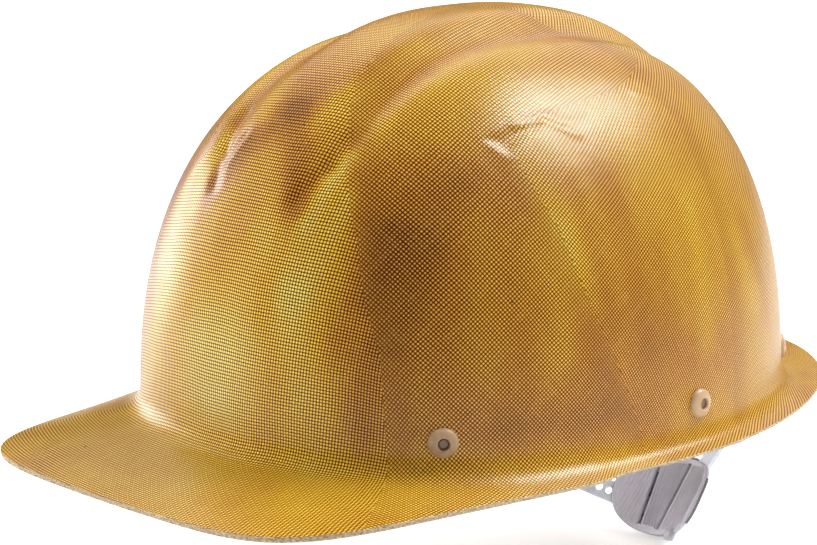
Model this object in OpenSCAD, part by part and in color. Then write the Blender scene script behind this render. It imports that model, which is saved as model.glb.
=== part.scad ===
// Safety helmet: resin-bonded fabric shell with a peak, a six-point textile cradle,
// a headband and a nape adjuster that is set by a knob.
// The wearer looks along -Y, the wearer's left is +X, and +Z is up.
// The origin is in the middle of the head opening, level with the side rim.

/* [Shell] */
// Half width of the dome at its foot
dome_half_w = 104; // [98:0.5:112]
// Reach of the dome ahead of the origin
dome_front = 119.7; // [112:0.1:128]
// Reach of the dome behind the origin
dome_rear = 129.1; // [122:0.1:136]
// Height of the dome without the crest
dome_h = 146.3; // [138:0.1:156]
// Wall of the laminate
wall = 3; // [2:0.1:4]
// Squareness of the dome's plan at the front, 2 is an ellipse
front_square = 2.45; // [2:0.05:3]
// Squareness of the dome's plan at the rear
rear_square = 2.19; // [2:0.01:3]
// Fullness of the profile at the front
front_full = 2.49; // [2:0.01:3]
// Fullness of the profile at the rear
rear_full = 2.41; // [2:0.01:3]
// Fullness of the profile at the sides
side_full = 2.33; // [2:0.01:3]
// Shift of the crown to the rear
crown_shift = 4.8; // [0:0.1:10]
// Height of the dome's foot at the front and the rear
foot_z = 5.1; // [3:0.1:8]
// Height of the dome's foot at the sides
side_foot_z = 3; // [2:0.1:6]
// Size of the fillet between the dome and the rim
foot_fillet = 8; // [5:0.5:10]

/* [Crest] */
// Height of the raised band along the crown
crest_h = 4.1; // [1:0.1:5]
// Half width of the raised band
crest_half_w = 20; // [16:0.5:26]
// Depth of the groove on each side of the band
groove_depth = 3.1; // [1:0.1:4]
// Distance of each groove from the middle
groove_x = 30.3; // [27:0.1:36]
// Width of the groove
groove_w = 7.5; // [6:0.1:11]

/* [Rim] */
// Half width of the rim
rim_half_w = 111.2; // [107:0.1:118]
// Reach of the rim beside the peak
brow_reach = 127.7; // [124:0.1:134]
// Reach of the rim behind the origin
rim_rear = 154.5; // [145:0.5:165]
// Half width of the peak
peak_half_w = 94.7; // [90:0.1:104]
// Reach of the peak ahead of the origin
peak_reach = 163.7; // [150:0.1:175]
// Squareness of the peak's outline
peak_square = 5.8; // [3:0.1:8]
// Drop of the peak's edge
peak_drop = 5.1; // [4:0.1:14]
// Rise of the rear rim
rear_rise = 5.7; // [2:0.1:10]
// Thickness of the peak's edge
peak_edge = 2; // [1.5:0.1:3]
// Thickness of the rim's edge at the sides and the rear
rim_edge = 1.2; // [1:0.1:3]

/* [Rivets] */
// Angle of the front rivets, from the front
front_rivet_u = 43.5; // [38:0.5:50]
// Angle of the side rivets
side_rivet_u = 99.9; // [92:0.1:106]
// Angle of the rear rivets
rear_rivet_u = 149; // [140:0.5:156]
// Height of the rivets
rivet_z = 15.4; // [14:0.1:20]
// Radius of a rivet's head
rivet_head_r = 5.35; // [4.5:0.05:6]
// Height of a rivet's head
rivet_head_h = 2.4; // [1.5:0.1:3]
// Radius of a rivet's shank
rivet_r = 2.9; // [2.2:0.1:3.2]
// Radius of the pin driven into a rivet
rivet_pin_r = 1.5; // [1:0.1:1.7]
// Radius of the washer under a rivet's tail
washer_r = 5; // [4.5:0.1:6]
// Thickness of the washer
washer_t = 1; // [0.6:0.1:1.5]

/* [Cradle] */
// Width of the crown webbing
web_w = 19; // [16:0.5:22]
// Thickness of the crown webbing
web_t = 1.3; // [1:0.1:1.6]
// Clear height between the crown webbing and the dome
crown_gap = 37; // [30:1:45]
// Width of an anchor's plate
anchor_w = 24; // [22:0.5:28]
// Thickness of an anchor's plate
anchor_t = 2; // [1.5:0.1:3]
// Height of the webbing bar above the rivet
bar_up = 19; // [18:0.5:24]
// Radius of the webbing bar
bar_r = 1.6; // [1.2:0.1:2]
// Length of the webbing's sewn tail
tail_len = 24; // [15:1:32]

/* [Headband] */
// Half width of the headband
band_half_w = 77; // [72:0.5:82]
// Reach of the headband ahead of its widest place
band_front = 100; // [94:0.5:106]
// Place of the headband's widest point
band_mid_y = 6; // [0:0.5:10]
// Height of the headband
band_h = 26; // [22:0.5:30]
// Thickness of the headband
band_t = 1.6; // [1.2:0.1:2.2]
// Height of the headband's middle line
band_z = 16; // [14:0.5:20]
// Width of the arm that carries the headband
arm_w = 12; // [11:0.5:16]
// Thickness of the arm
arm_t = 3; // [2:0.1:4]
// Radius of the chin strap hole in a side arm
chin_hole_r = 2.5; // [2:0.1:3]
// Radius of a headband stud
stud_r = 2; // [1.5:0.1:2.5]
// Thickness of the sweatband
sweat_t = 2.6; // [2:0.1:4]
// Height of the sweatband
sweat_h = 31; // [28:0.5:36]

/* [Nape adjuster] */
// Lean of the nape straps' plane
nape_tilt = 35; // [30:0.5:38]
// Place of the nape arc's centre behind the origin
nape_y = 72.3; // [68:0.1:76]
// Depth of the nape arc's centre below the rim
nape_drop = 26; // [22:0.5:30]
// Radius of the nape plate's inner face
nape_r = 50; // [48:0.5:54]
// Half width between the strap hinges
hinge_x = 66; // [64:0.5:70]
// Height of the strap hinges above the knob's axis
hinge_z = 27; // [22:0.5:30]
// Radius of a hinge bar
hinge_r = 1.5; // [1.2:0.1:2]
// Thickness of a nape strap
strap_t = 2; // [1.6:0.1:2.4]
// Height of a nape strap
strap_h = 8.5; // [7:0.1:9]
// Radius of the holes along a nape strap
strap_hole_r = 1.5; // [1:0.05:1.6]
// Half width of the nape plate
plate_half_w = 22.2; // [20:0.1:25]
// Height of the nape plate
plate_h = 34.5; // [32:0.5:38]
// Thickness of the nape plate
plate_t = 2; // [1.6:0.1:2.4]
// Thickness of the cover
cover_t = 1.8; // [1.4:0.1:2.2]
// Pitch radius of the pinion
pinion_r = 6.6; // [6.2:0.1:7]
// Number of pinion teeth
pinion_teeth = 12; // [11:1:13]
// Radius of the pinion's shaft
shaft_r = 3; // [2.5:0.1:3.4]
// Radius of the knob at its foot
knob_r = 10.6; // [10.2:0.1:12]
// Radius of the knob's face
knob_face_r = 8.6; // [7:0.1:10]
// Thickness of the knob
knob_t = 4.6; // [4.4:0.1:6]
// Number of grips round the knob
knob_grips = 20; // [12:1:24]

/* [Hidden] */

$fn = 48;
gap = 0.3;
run_gap = 0.08;
fit_gap = 0.1;
over = 1;

// Shell grid: columns round the head, and rows from the crown down
cols = 72;
dome_rows = 15;
fillet_rows = 3;
rim_rows = 3;
rows = dome_rows + fillet_rows + rim_rows;
peak_join = 9;
peak_fade = 0.35;
brow_square = 2.2;
rim_square = 2.13;
// Shares of the dome's height where the crest and its grooves begin, and over which they grow
crest_start = 0.745;
crest_run = 0.38;
groove_start = 0.52;
groove_run = 0.28;

rivet_us = [front_rivet_u, -front_rivet_u, side_rivet_u, -side_rivet_u, rear_rivet_u, -rear_rivet_u];

// Inside the wall, measured inwards from the dome's outer face at a rivet
boss_len = 3.8;
boss_r = 6;
seat_gap = 0.45;
seat_in = wall + seat_gap;
boss_in = seat_in + boss_len;
washer_in = boss_in + fit_gap;
tail_in = washer_in + washer_t + fit_gap;
rivet_tail_r = 4.1;
rivet_tail_t = 1.3;
anchor_gap = 1.9;
layer_gap = 2.4;
anchor_lean = 4;
anchor_low = 8;
anchor_top = 24;
bar_in = wall + anchor_gap + anchor_t + 7;
loop_r = bar_r + gap + web_t / 2;
arm_up = 9;
tab_t = 2;
tab_low = 6;
stud_head_r = 4;
stud_head_t = 1.2;

// Nape straps, in the frame of the adjuster
rack_gap = 0.4;
strap_in = nape_r + plate_t + rack_gap;
strap_mid = strap_in + strap_t / 2;
strap_out = strap_in + strap_t;
cover_in = strap_out + 0.5;
cover_out = cover_in + cover_t;
tooth_add = 1.2;
tooth_ded = 1.8;
tooth_w = 0.9;
rack_line = pinion_r + tooth_ded;
strap_low = pinion_r - 1.9;
strap_z = strap_low + strap_h / 2;
strap_top = strap_low + strap_h;
pitch_turn = 360 / pinion_teeth * pinion_r / strap_mid;
rack_start = -15;
rack_neck = 10.7;
rise_start = 11.2;
rise_turn = 9;
tangent_turn = asin(strap_mid / hinge_x);
eye_r = 3.2;
eye_h = 9;
ear_t = 2;
hole_start = 23.1;
hole_turn = 4.6;
plate_mid_z = -3.75;
wall_z = strap_top + 0.4;
boss_y = cover_in + 2.4;
knob_y = boss_y + gap;
knob_end = knob_y + knob_t;
cover_half_w = 14.6;
cover_low = -19.2;
rail_half_w = 8.5;
hollow_r = knob_r - 2;
hollow_h = 1.8;
top_t = 2.4;
ratchet_r = pinion_r + 0.2;
ratchet_w = 1.5;
ratchet_t = 1.2;
screw_r = 1.2;
screw_head_r = 2.8;
screw_len = 8;

// Smooth step from 0 to 1
function ramp(t) = let(s = min(1, max(0, t))) s * s * (3 - 2 * s);
// Share of the front, and of the rear, at an angle round the head
function ahead(u) = pow(max(0, cos(u)), 2);
function behind(u) = pow(max(0, -cos(u)), 2);
function mix3(u, front, rear, side) = side + (front - side) * ahead(u) + (rear - side) * behind(u);
// Radius of a rounded box's outline at an angle
function outline(u, a, b, n) = pow(pow(abs(sin(u)) / a, n) + pow(abs(cos(u)) / b, n), -1 / n);
function foot_r(u) = cos(u) > 0
    ? outline(u, dome_half_w, dome_front, front_square)
    : outline(u, dome_half_w, dome_rear, rear_square);
function foot_height(u) = mix3(u, foot_z, foot_z, side_foot_z);
function fullness(u) = mix3(u, front_full, rear_full, side_full);
function brow_r(u) = cos(u) > 0
    ? outline(u, rim_half_w, brow_reach, brow_square)
    : outline(u, rim_half_w, rim_rear, rim_square);
function peak_r(u) = 1 + outline(u, peak_half_w, peak_reach, peak_square) * ramp(cos(u) / peak_fade);
function rim_r(u) = pow(pow(brow_r(u), peak_join) + pow(peak_r(u), peak_join), 1 / peak_join);
function rim_height(u) = mix3(u, -peak_drop, rear_rise, 0);
// Power of a value that keeps its sign
function signed(v, n) = sign(v) * pow(abs(v), n);
function turned(u, r, z) = [r * sin(u), -r * cos(u), z];

// Height that the crest and its grooves add at a point of the dome
function crest(x, h) = crest_h * exp(-pow(x / crest_half_w, 6)) * ramp((h - crest_start) / crest_run)
    - groove_depth * exp(-pow((abs(x) - groove_x) / groove_w, 2)) * ramp((h - groove_start) / groove_run);
// Point of the dome at an angle round the head and an angle up the profile
function dome_point(u, up) = let(m = fullness(u), z0 = foot_height(u),
    rho = pow(max(0, cos(up)), 2 / m), h = pow(sin(up), 2 / m), p = turned(u, foot_r(u) * rho, 0))
    [p[0], p[1] + crown_shift * h * h, z0 + (dome_h - z0) * h + crest(p[0], h)];
function foot_up(u) = asin(pow(foot_fillet / (dome_h - foot_height(u)), fullness(u) / 2));
function foot_point(u) = turned(u, foot_r(u), foot_height(u));
function rim_point(u) = turned(u, rim_r(u), rim_height(u));
function fillet_end(u) = let(b = foot_point(u), e = rim_point(u))
    b + (e - b) * min(0.6, foot_fillet / norm(e - b));
function bend(a, b, c, t) = a * pow(1 - t, 2) + b * 2 * t * (1 - t) + c * t * t;
function outer_point(u, row) = row <= dome_rows
    ? dome_point(u, 90 + (foot_up(u) - 90) * row / dome_rows)
    : row <= dome_rows + fillet_rows
    ? bend(dome_point(u, foot_up(u)), foot_point(u), fillet_end(u), (row - dome_rows) / fillet_rows)
    : fillet_end(u) + (rim_point(u) - fillet_end(u)) * (row - dome_rows - fillet_rows) / rim_rows;
function unit(v) = v / norm(v);
// Thickness of the wall at a row; it thins over the rim to the cut edge
function wall_at(u, row) = let(edge = rim_edge + (peak_edge - rim_edge) * ramp((cos(u) - 0.2) / 0.5))
    wall + (edge - wall) * max(0, row - dome_rows - fillet_rows) / rim_rows;

// Place and facing of a rivet on the dome
function wall_r(u, z) = let(m = fullness(u), h = (z - foot_height(u)) / (dome_h - foot_height(u)))
    foot_r(u) * pow(1 - pow(h, m), 1 / m);
function rivet_point(u) = turned(u, wall_r(u, rivet_z), rivet_z);
function facing(u) = let(d = rivet_point(u + 0.5) - rivet_point(u - 0.5)) atan2(-d[0], d[1]);
function inward(u) = [-cos(facing(u)), -sin(facing(u)), 0];

// Webbing bar of an anchor, and the yaw that squares it to its web
function bar_point(u) = rivet_point(u) + inward(u) * bar_in + [0, 0, bar_up];
function heading(a, b) = atan2(b[1] - a[1], b[0] - a[0]);
function web_partner(u) = abs(u) == side_rivet_u ? -u
    : abs(u) == front_rivet_u ? -sign(u) * rear_rivet_u : -sign(u) * front_rivet_u;
function web_yaw(u) = heading(bar_point(u), bar_point(web_partner(u))) - 180 - facing(u);

// Plan of the headband, used to find how far an arm has to reach
function rear_slope(y) = pow(max(0, (y - band_mid_y) / (band_end[1] - band_mid_y)), 2);
function band_side(y) = band_half_w - (band_half_w - band_end[0]) * rear_slope(y);
function outside_band(p) = p[1] < band_mid_y
    ? pow(abs(p[0]) / (band_half_w + band_t / 2), band_square)
    + pow((band_mid_y - p[1]) / (band_front + band_t / 2), band_square) > 1
    : abs(p[0]) > band_side(p[1]) + band_t / 2;
band_square = 2.2;
function reach(p, d, lo, hi, n) = n == 0 ? (lo + hi) / 2 : let(m = (lo + hi) / 2)
    outside_band(p + d * m) ? reach(p, d, m, hi, n - 1) : reach(p, d, lo, m, n - 1);
function arm_reach(u) = reach(rivet_point(u), inward(u), 5, 60, 20);

// Frame of the adjuster: x across, y along the knob's axis to the rear, z up the plate
function from_nape(p) = [p[0], nape_y + p[1] * cos(nape_tilt) + p[2] * sin(nape_tilt),
    -nape_drop - p[1] * sin(nape_tilt) + p[2] * cos(nape_tilt)];
band_end_gap = 6;
band_end = from_nape([hinge_x + 1, -band_end_gap, hinge_z]);
band_end_h = 14;
module nape_frame() {
    translate([0, nape_y, -nape_drop]) rotate([-nape_tilt, 0, 0]) children();
}
module rivet_frame(u) {
    translate(rivet_point(u)) rotate([0, 0, facing(u)]) children();
}
// Cylinder along x, from x0 to x1
module rod(x0, x1, r) {
    translate([x0, 0, 0]) rotate([0, 90, 0]) cylinder(h = x1 - x0, r = r);
}
// Cylinder along y, from y0 to y1
module axle(y0, y1, r) {
    translate([0, y1, 0]) rotate([90, 0, 0]) cylinder(h = y1 - y0, r = r);
}

// Solid swept through rings of points, closed at both ends
module sweep(rings) {
    n = len(rings[0]);
    last = len(rings) - 1;
    sides = [for (i = [0:last - 1], j = [0:n - 1]) let(k = (j + 1) % n)
        each [[i * n + j, (i + 1) * n + j, (i + 1) * n + k], [i * n + j, (i + 1) * n + k, i * n + k]]];
    caps = [[for (j = [0:n - 1]) j], [for (j = [n - 1:-1:0]) last * n + j]];
    polyhedron(points = [for (r = rings) each r], faces = concat(sides, caps));
}
// Rectangle about c, with half sizes along t and v
function section(c, t, v) = [c - t - v, c + t - v, c + t + v, c - t + v];

module shell_body() {
    top = dome_point(0, 90);
    outer = [for (i = [1:rows]) [for (j = [0:cols - 1]) outer_point(360 * j / cols, i)]];
    inner = [for (i = [0:rows - 1]) [for (j = [0:cols - 1])
        let(above = i == 0 ? top : outer[i - 1][j], below = outer[min(rows - 1, i + 1)][j],
            left = outer[i][(j + cols - 1) % cols], right = outer[i][(j + 1) % cols])
        outer[i][j] - wall_at(360 * j / cols, i + 1) * unit(cross(right - left, above - below))]];
    n = rows * cols;
    points = concat([top], [for (r = outer) each r], [top - [0, 0, wall]], [for (r = inner) each r]);
    function at(i, j, skin) = 1 + skin * (n + 1) + i * cols + j % cols;
    fans = [for (j = [0:cols - 1]) each [[0, at(0, j + 1, 0), at(0, j, 0)],
        [n + 1, at(0, j, 1), at(0, j + 1, 1)]]];
    skins = [for (i = [0:rows - 2], j = [0:cols - 1]) each [
        [at(i, j, 0), at(i, j + 1, 0), at(i + 1, j + 1, 0)], [at(i, j, 0), at(i + 1, j + 1, 0), at(i + 1, j, 0)],
        [at(i, j, 1), at(i + 1, j + 1, 1), at(i, j + 1, 1)], [at(i, j, 1), at(i + 1, j, 1), at(i + 1, j + 1, 1)]]];
    edge = [for (j = [0:cols - 1]) each [
        [at(rows - 1, j, 0), at(rows - 1, j + 1, 0), at(rows - 1, j + 1, 1)],
        [at(rows - 1, j, 0), at(rows - 1, j + 1, 1), at(rows - 1, j, 1)]]];
    polyhedron(points = points, faces = concat(fans, skins, edge));
}
module shell() {
    color("goldenrod") difference() {
        shell_body();
        for (u = rivet_us) rivet_frame(u) {
            rod(-wall - 3, 3, rivet_r + fit_gap);
            rod(0, 5, rivet_head_r + 0.2);
        }
    }
}

// Profile of a rivet's domed head with a ring pressed round its pin
module shell_rivets() {
    steps = 9;
    bore_r = rivet_pin_r + fit_gap;
    ring_r = rivet_pin_r + 0.9;
    ring_h = rivet_head_h - 0.5;
    crown_r = (pow(rivet_head_r, 2) + pow(rivet_head_h, 2)) / (2 * rivet_head_h);
    head = [for (i = [0:steps]) let(r = rivet_head_r + (ring_r - rivet_head_r) * i / steps)
        [r, rivet_head_h - crown_r + sqrt(pow(crown_r, 2) - pow(r, 2))]];
    tail = [[bore_r, -tail_in - rivet_tail_t], [rivet_tail_r, -tail_in - rivet_tail_t],
        [rivet_tail_r, -tail_in], [rivet_r, -tail_in], [rivet_r, 0]];
    color("burlywood") for (u = rivet_us) rivet_frame(u) rotate([0, 90, 0]) rotate_extrude()
        polygon(concat(tail, head, [[ring_r, ring_h], [bore_r, ring_h]]));
}
module rivet_pins() {
    color("tan") for (u = rivet_us) rivet_frame(u)
        rod(-tail_in - rivet_tail_t, rivet_head_h - 1, rivet_pin_r);
}
module rivet_washers() {
    color("tan") for (u = rivet_us) rivet_frame(u) difference() {
        rod(-washer_in - washer_t, -washer_in, washer_r);
        rod(-washer_in - washer_t - over, over, rivet_r + fit_gap);
    }
}

// Anchor plate with its webbing bar, and an arm where it carries the headband
module anchor(u, arm = false, chin = false) {
    plate_in = wall + anchor_gap;
    bar_len = web_w + 2;
    face_in = arm ? arm_reach(u) : 0;
    tab_in = face_in - gap - tab_t;
    color("gainsboro") rivet_frame(u) difference() {
        union() {
            rod(-boss_in, -seat_in, boss_r);
            rotate([0, -anchor_lean, 0]) translate([-plate_in - anchor_t, -anchor_w / 2, -anchor_low])
                cube([anchor_t, anchor_w, anchor_low + anchor_top]);
            translate([-bar_in, 0, bar_up]) rotate([0, 0, web_yaw(u)]) rotate([90, 0, 0])
                cylinder(h = bar_len + 2, r = bar_r, center = true);
            for (s = [-1, 1]) hull() {
                translate([-plate_in - anchor_t - 1, s * (bar_len / 2 + 0.4) - 0.9, bar_up - 3])
                    cube([1, 1.8, 6]);
                translate([-bar_in, 0, bar_up]) rotate([0, 0, web_yaw(u)])
                    translate([0, s * (bar_len / 2 + 0.9), 0]) rotate([90, 0, 0])
                    cylinder(h = 1.8, r = bar_r + 0.6, center = true, $fn = 32);
            }
            if (arm) {
                translate([-tab_in - tab_t, -arm_w / 2, arm_up])
                    cube([tab_in + tab_t - plate_in - anchor_t, arm_w, arm_t]);
                translate([-tab_in - tab_t, -arm_w / 2, -tab_low])
                    cube([tab_t, arm_w, tab_low + arm_up + arm_t]);
            }
        }
        rod(-boss_in - over, over, rivet_r + fit_gap);
        if (arm) rod(-face_in - over, -tab_in + over, stud_r + fit_gap);
        if (chin) translate([-(plate_in + anchor_t + tab_in) / 2, 0, arm_up - over])
            cylinder(h = arm_t + 2 * over, r = chin_hole_r);
    }
}
module anchor_front_left() { anchor(front_rivet_u, arm = true); }
module anchor_front_right() { anchor(-front_rivet_u, arm = true); }
module anchor_side_left() { anchor(side_rivet_u, arm = true, chin = true); }
module anchor_side_right() { anchor(-side_rivet_u, arm = true, chin = true); }
module anchor_rear_left() { anchor(rear_rivet_u); }
module anchor_rear_right() { anchor(-rear_rivet_u); }

// Crown webbing: a bowed span between two bars, each end looped round its bar and sewn back
module crown_web(u, layer) {
    a = bar_point(u);
    b = bar_point(web_partner(u));
    mid = (a + b) / 2;
    half = norm([b[0] - a[0], b[1] - a[1]]) / 2;
    bow = 2.4;
    crown_z = dome_h - wall - crown_gap + layer * (web_t + layer_gap);
    lift = crown_z - a[2];
    slope = atan(lift * bow / half);
    e = [cos(slope), sin(slope)];
    n = [-sin(slope), cos(slope)];
    start = [-half, 0] - n * loop_r;
    run = -start[0];
    tall = lift - start[1];
    function span(q) = [q * run, start[1] + tall * (1 - pow(abs(q), bow))];
    function span_n(q) = let(d = unit(span(q + 0.01) - span(q - 0.01))) [-d[1], d[0]];
    tail_q = -1 + tail_len * cos(slope) / run;
    layers = web_t + 0.25;
    steps = 16;
    tail = [for (k = [0:3]) let(q = tail_q - (tail_q + 0.93) * k / 3, w = layers + 1.2 * pow(k / 3, 2))
        [span(q) + span_n(q) * w, span_n(q)]];
    loop = [for (k = [0:8]) let(t = 22.5 * k, d = n * cos(t) - e * sin(t)) [[-half, 0] + d * loop_r, d]];
    near = concat(tail, loop);
    main = [for (k = [1:2 * steps - 1]) let(q = -0.97 + 0.97 * k / steps) [span(q), -span_n(q)]];
    function flip(s) = [[-s[0][0], s[0][1]], [-s[1][0], s[1][1]]];
    far = [for (k = [len(near) - 1:-1:0]) flip(near[k])];
    path = concat(near, main, far);
    color("whitesmoke") translate([mid[0], mid[1], a[2]]) rotate([0, 0, heading(a, b)])
        sweep([for (s = path) section([s[0][0], 0, s[0][1]],
            [s[1][0], 0, s[1][1]] * web_t / 2, [0, web_w / 2, 0])]);
}
module crown_web_side() { crown_web(side_rivet_u, 0); }
module crown_web_left_front() { crown_web(front_rivet_u, 1); }
module crown_web_right_front() { crown_web(-front_rivet_u, 2); }

// Headband: front arc in plan, then on each side a drop to the hinge of the nape strap
function band_arc(a) = [band_half_w * signed(sin(a), 2 / band_square),
    band_mid_y - band_front * signed(cos(a), 2 / band_square), band_z];
function band_drop(t) = [band_side(band_mid_y + t * (band_end[1] - band_mid_y)),
    band_mid_y + t * (band_end[1] - band_mid_y), band_z + (band_end[2] - band_z) * pow(t, 1.7)];
function flat_normal(p, q) = unit([q[1] - p[1], p[0] - q[0], 0]);
function band_ring(a, shift, t, h) = let(n = flat_normal(band_arc(a - 0.5), band_arc(a + 0.5)))
    section(band_arc(a) + n * shift, n * t / 2, [0, 0, h / 2]);
function drop_ring(t) = let(n = flat_normal(band_drop(t - 0.01), band_drop(t + 0.01)), lean = nape_tilt * t)
    section(band_drop(t), n * band_t / 2,
    [0, sin(lean), cos(lean)] * (band_h + (band_end_h - band_h) * ramp(t)) / 2);
function mirrored(ring) = [for (p = ring) [-p[0], p[1], p[2]]];
drops = 9;
stud_turns = [14, 30, 64];
stud_up = 8;
stud_gap = 0.45;
module band_hole(a, r, depth) {
    p = band_arc(a);
    n = flat_normal(band_arc(a - 0.5), band_arc(a + 0.5));
    translate([p[0], p[1], band_z + stud_up]) rotate([0, 0, atan2(n[1], n[0])]) rod(-depth, depth, r);
}
module headband() {
    left = [for (k = [drops:-1:1]) drop_ring(k / drops)];
    front = [for (a = [90:-5:-90]) band_ring(a, 0, band_t, band_h)];
    right = [for (k = [1:drops]) mirrored(drop_ring(k / drops))];
    color("silver") difference() {
        union() {
            sweep(concat(left, front, right));
            nape_frame() for (s = [-1, 1]) hinge_ears(s);
        }
        for (u = [front_rivet_u, -front_rivet_u, side_rivet_u, -side_rivet_u]) rivet_frame(u)
            rod(-arm_reach(u) - band_t - over, -arm_reach(u) + over, stud_r + fit_gap);
        for (a = stud_turns, s = [-1, 1]) band_hole(s * a, 1.6, 3);
    }
}
// Two ears and the bar between them that the eye of a nape strap turns on
module hinge_ears(side) {
    reach_z = eye_h / 2 + 0.4;
    translate([side * hinge_x, 0, hinge_z]) {
        cylinder(h = 2 * reach_z + 2 * ear_t, r = hinge_r, center = true);
        for (s = [-1, 1]) translate([0, 0, s * (reach_z + ear_t / 2)]) {
            cylinder(h = ear_t, r = eye_r, center = true);
            translate([-eye_r, -band_end_gap - 1.6, -ear_t / 2]) cube([2 * eye_r, band_end_gap + 1.6, ear_t]);
        }
        translate([-eye_r, -band_end_gap - 1.6, -reach_z - ear_t])
            cube([2 * eye_r, 2.4, 2 * (reach_z + ear_t)]);
    }
}
module headband_studs() {
    color("dimgray") for (u = [front_rivet_u, -front_rivet_u, side_rivet_u, -side_rivet_u]) rivet_frame(u) {
        face = arm_reach(u);
        rod(-face - band_t - stud_gap, -face + gap + tab_t + fit_gap, stud_r);
        rod(-face + gap + tab_t + fit_gap, -face + gap + tab_t + fit_gap + stud_head_t, stud_head_r);
        rod(-face - band_t - stud_gap - 0.8, -face - band_t - stud_gap, stud_head_r - 1);
    }
}
// Padded leather strip inside the front of the headband
module sweatband() {
    shift = -(band_t + sweat_t) / 2 - gap;
    color("dimgray") difference() {
        sweep([for (a = [74:-4:-74]) band_ring(a, shift, sweat_t, sweat_h)]);
        for (a = stud_turns, s = [-1, 1]) band_hole(s * a, 1.8, 2.6);
        for (u = [front_rivet_u, -front_rivet_u]) rivet_frame(u)
            rod(-arm_reach(u) - band_t - 1.4, -arm_reach(u), stud_head_r);
    }
}
module sweatband_studs() {
    color("lightgray") for (a = stud_turns, s = [-1, 1]) {
        p = band_arc(s * a);
        n = flat_normal(band_arc(s * a - 0.5), band_arc(s * a + 0.5));
        translate([p[0], p[1], band_z + stud_up]) rotate([0, 0, atan2(n[1], n[0])]) {
            rod(-2.2, band_t / 2 + fit_gap, 1.5);
            rod(band_t / 2 + fit_gap, band_t / 2 + 1.1, 3);
        }
    }
}

// Nape strap: a toothed rack inside the adjuster, an arc with a row of holes, and the hinge eye
module nape_strap(side) {
    tangent = strap_mid * [sin(tangent_turn), cos(tangent_turn)];
    far = [hinge_x, 0];
    // Rise from the rack to the hinge: at once on the left, along the straight arm on the right
    rise = side * hinge_z - strap_z;
    function arc_rise(t) = side > 0 ? rise * ramp((t - rise_start) / rise_turn) : 0;
    function arc_lean(t) = 0.55 * atan2(arc_rise(t + 0.5) - arc_rise(t - 0.5), strap_mid * PI / 180);
    function arm_rise(k) = side > 0 ? rise : rise * ramp(k / 0.85);
    function arc_ring(t, low) = let(d = [sin(t), cos(t), 0], lean = arc_lean(t))
        section(d * strap_mid + [0, 0, (low + strap_top) / 2 + arc_rise(t)], d * strap_t / 2,
        [-cos(t) * sin(lean), sin(t) * sin(lean), cos(lean)] * (strap_top - low) / 2);
    function arm_ring(k) = let(p = tangent + (far - tangent) * k)
        section([p[0], p[1], strap_z + arm_rise(k)],
        [sin(tangent_turn), cos(tangent_turn), 0] * strap_t / 2, [0, 0, strap_h / 2]);
    rack = [for (k = [0:7]) arc_ring(rack_start + (rack_neck - rack_start) * k / 7, rack_line)];
    riser = [for (k = [0:10]) arc_ring(rise_start + rise_turn * k / 10, strap_low)];
    arc = [for (t = [rise_start + rise_turn + 2.4:2.4:tangent_turn - 1]) arc_ring(t, strap_low)];
    arm = [for (k = [0, 0.1, 0.2, 0.3, 0.4, 0.5, 0.6, 0.7, 0.8, 0.9, 0.97]) arm_ring(k)];
    mirror([side < 0 ? 1 : 0, 0, 0]) mirror([0, 0, side < 0 ? 1 : 0]) difference() {
        union() {
            sweep(concat(rack, riser, arc, arm));
            for (k = [-4:2]) rotate([0, 0, -(k + 0.5) * pitch_turn]) translate([0, strap_out, 0])
                rotate([90, 0, 0]) linear_extrude(strap_t) polygon([
                    [-tooth_w * 0.65, rack_line + 0.2], [tooth_w * 0.65, rack_line + 0.2],
                    [tooth_w * 0.35, pinion_r - tooth_add], [-tooth_w * 0.35, pinion_r - tooth_add]]);
            translate([hinge_x, 0, side * hinge_z]) cylinder(h = eye_h, r = eye_r, center = true);
        }
        translate([hinge_x, 0, side * hinge_z]) cylinder(h = eye_h + 2, r = hinge_r + run_gap, center = true);
        for (k = [0:5]) let(t = hole_start + k * hole_turn)
            rotate([0, 0, -t]) translate([0, 0, strap_z + arc_rise(t)])
            axle(strap_in - over, strap_out + over, strap_hole_r);
    }
}
module nape_strap_left() { color("gainsboro") nape_frame() nape_strap(1); }
module nape_strap_right() { color("gainsboro") nape_frame() nape_strap(-1); }

// Solid between two radii about the nape arc's centre, cut to an outline across it
module curved_plate(r0, r1, half_w, z0, z1, square, low_square) {
    zm = (z0 + z1) / 2;
    half_h = (z1 - z0) / 2;
    intersection() {
        translate([0, 0, zm]) difference() {
            cylinder(h = 2 * half_h + 2, r = r1, center = true, $fn = 128);
            cylinder(h = 2 * half_h + 4, r = r0, center = true, $fn = 128);
        }
        translate([0, r1 + over, zm]) rotate([90, 0, 0]) linear_extrude(r1) polygon([for (a = [0:10:350])
            let(n = a > 180 ? low_square : square)
            [half_w * signed(cos(a), 2 / n), half_h * signed(sin(a), 2 / n)]]);
    }
}
module nape_plate() {
    low = plate_mid_z - plate_h / 2;
    top = plate_mid_z + plate_h / 2;
    slot_top_x = 7.9;
    slot_low_x = 5.05;
    slot_w = 2.3;
    tab_x = 13.2;
    color("lightsteelblue") nape_frame() difference() {
        union() {
            curved_plate(nape_r, nape_r + plate_t, plate_half_w, low, top, 4, 2.6);
            intersection() {
                curved_plate(nape_r, nape_r + plate_t, plate_half_w, low - 8, top, 8, 8);
                translate([tab_x - 2.6, 0, low - 0.6]) cube([5.2, nape_r + 5, 8]);
            }
        }
        for (s = [-1, 1]) translate([0, nape_r + 5, 0]) rotate([90, 0, 0]) linear_extrude(nape_r) polygon([
            [s * slot_low_x - slot_w / 2, low + 2.4], [s * slot_low_x + slot_w / 2, low + 2.4],
            [s * slot_top_x + slot_w / 2, top - 2], [s * slot_top_x - slot_w / 2, top - 2]]);
    }
}
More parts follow.
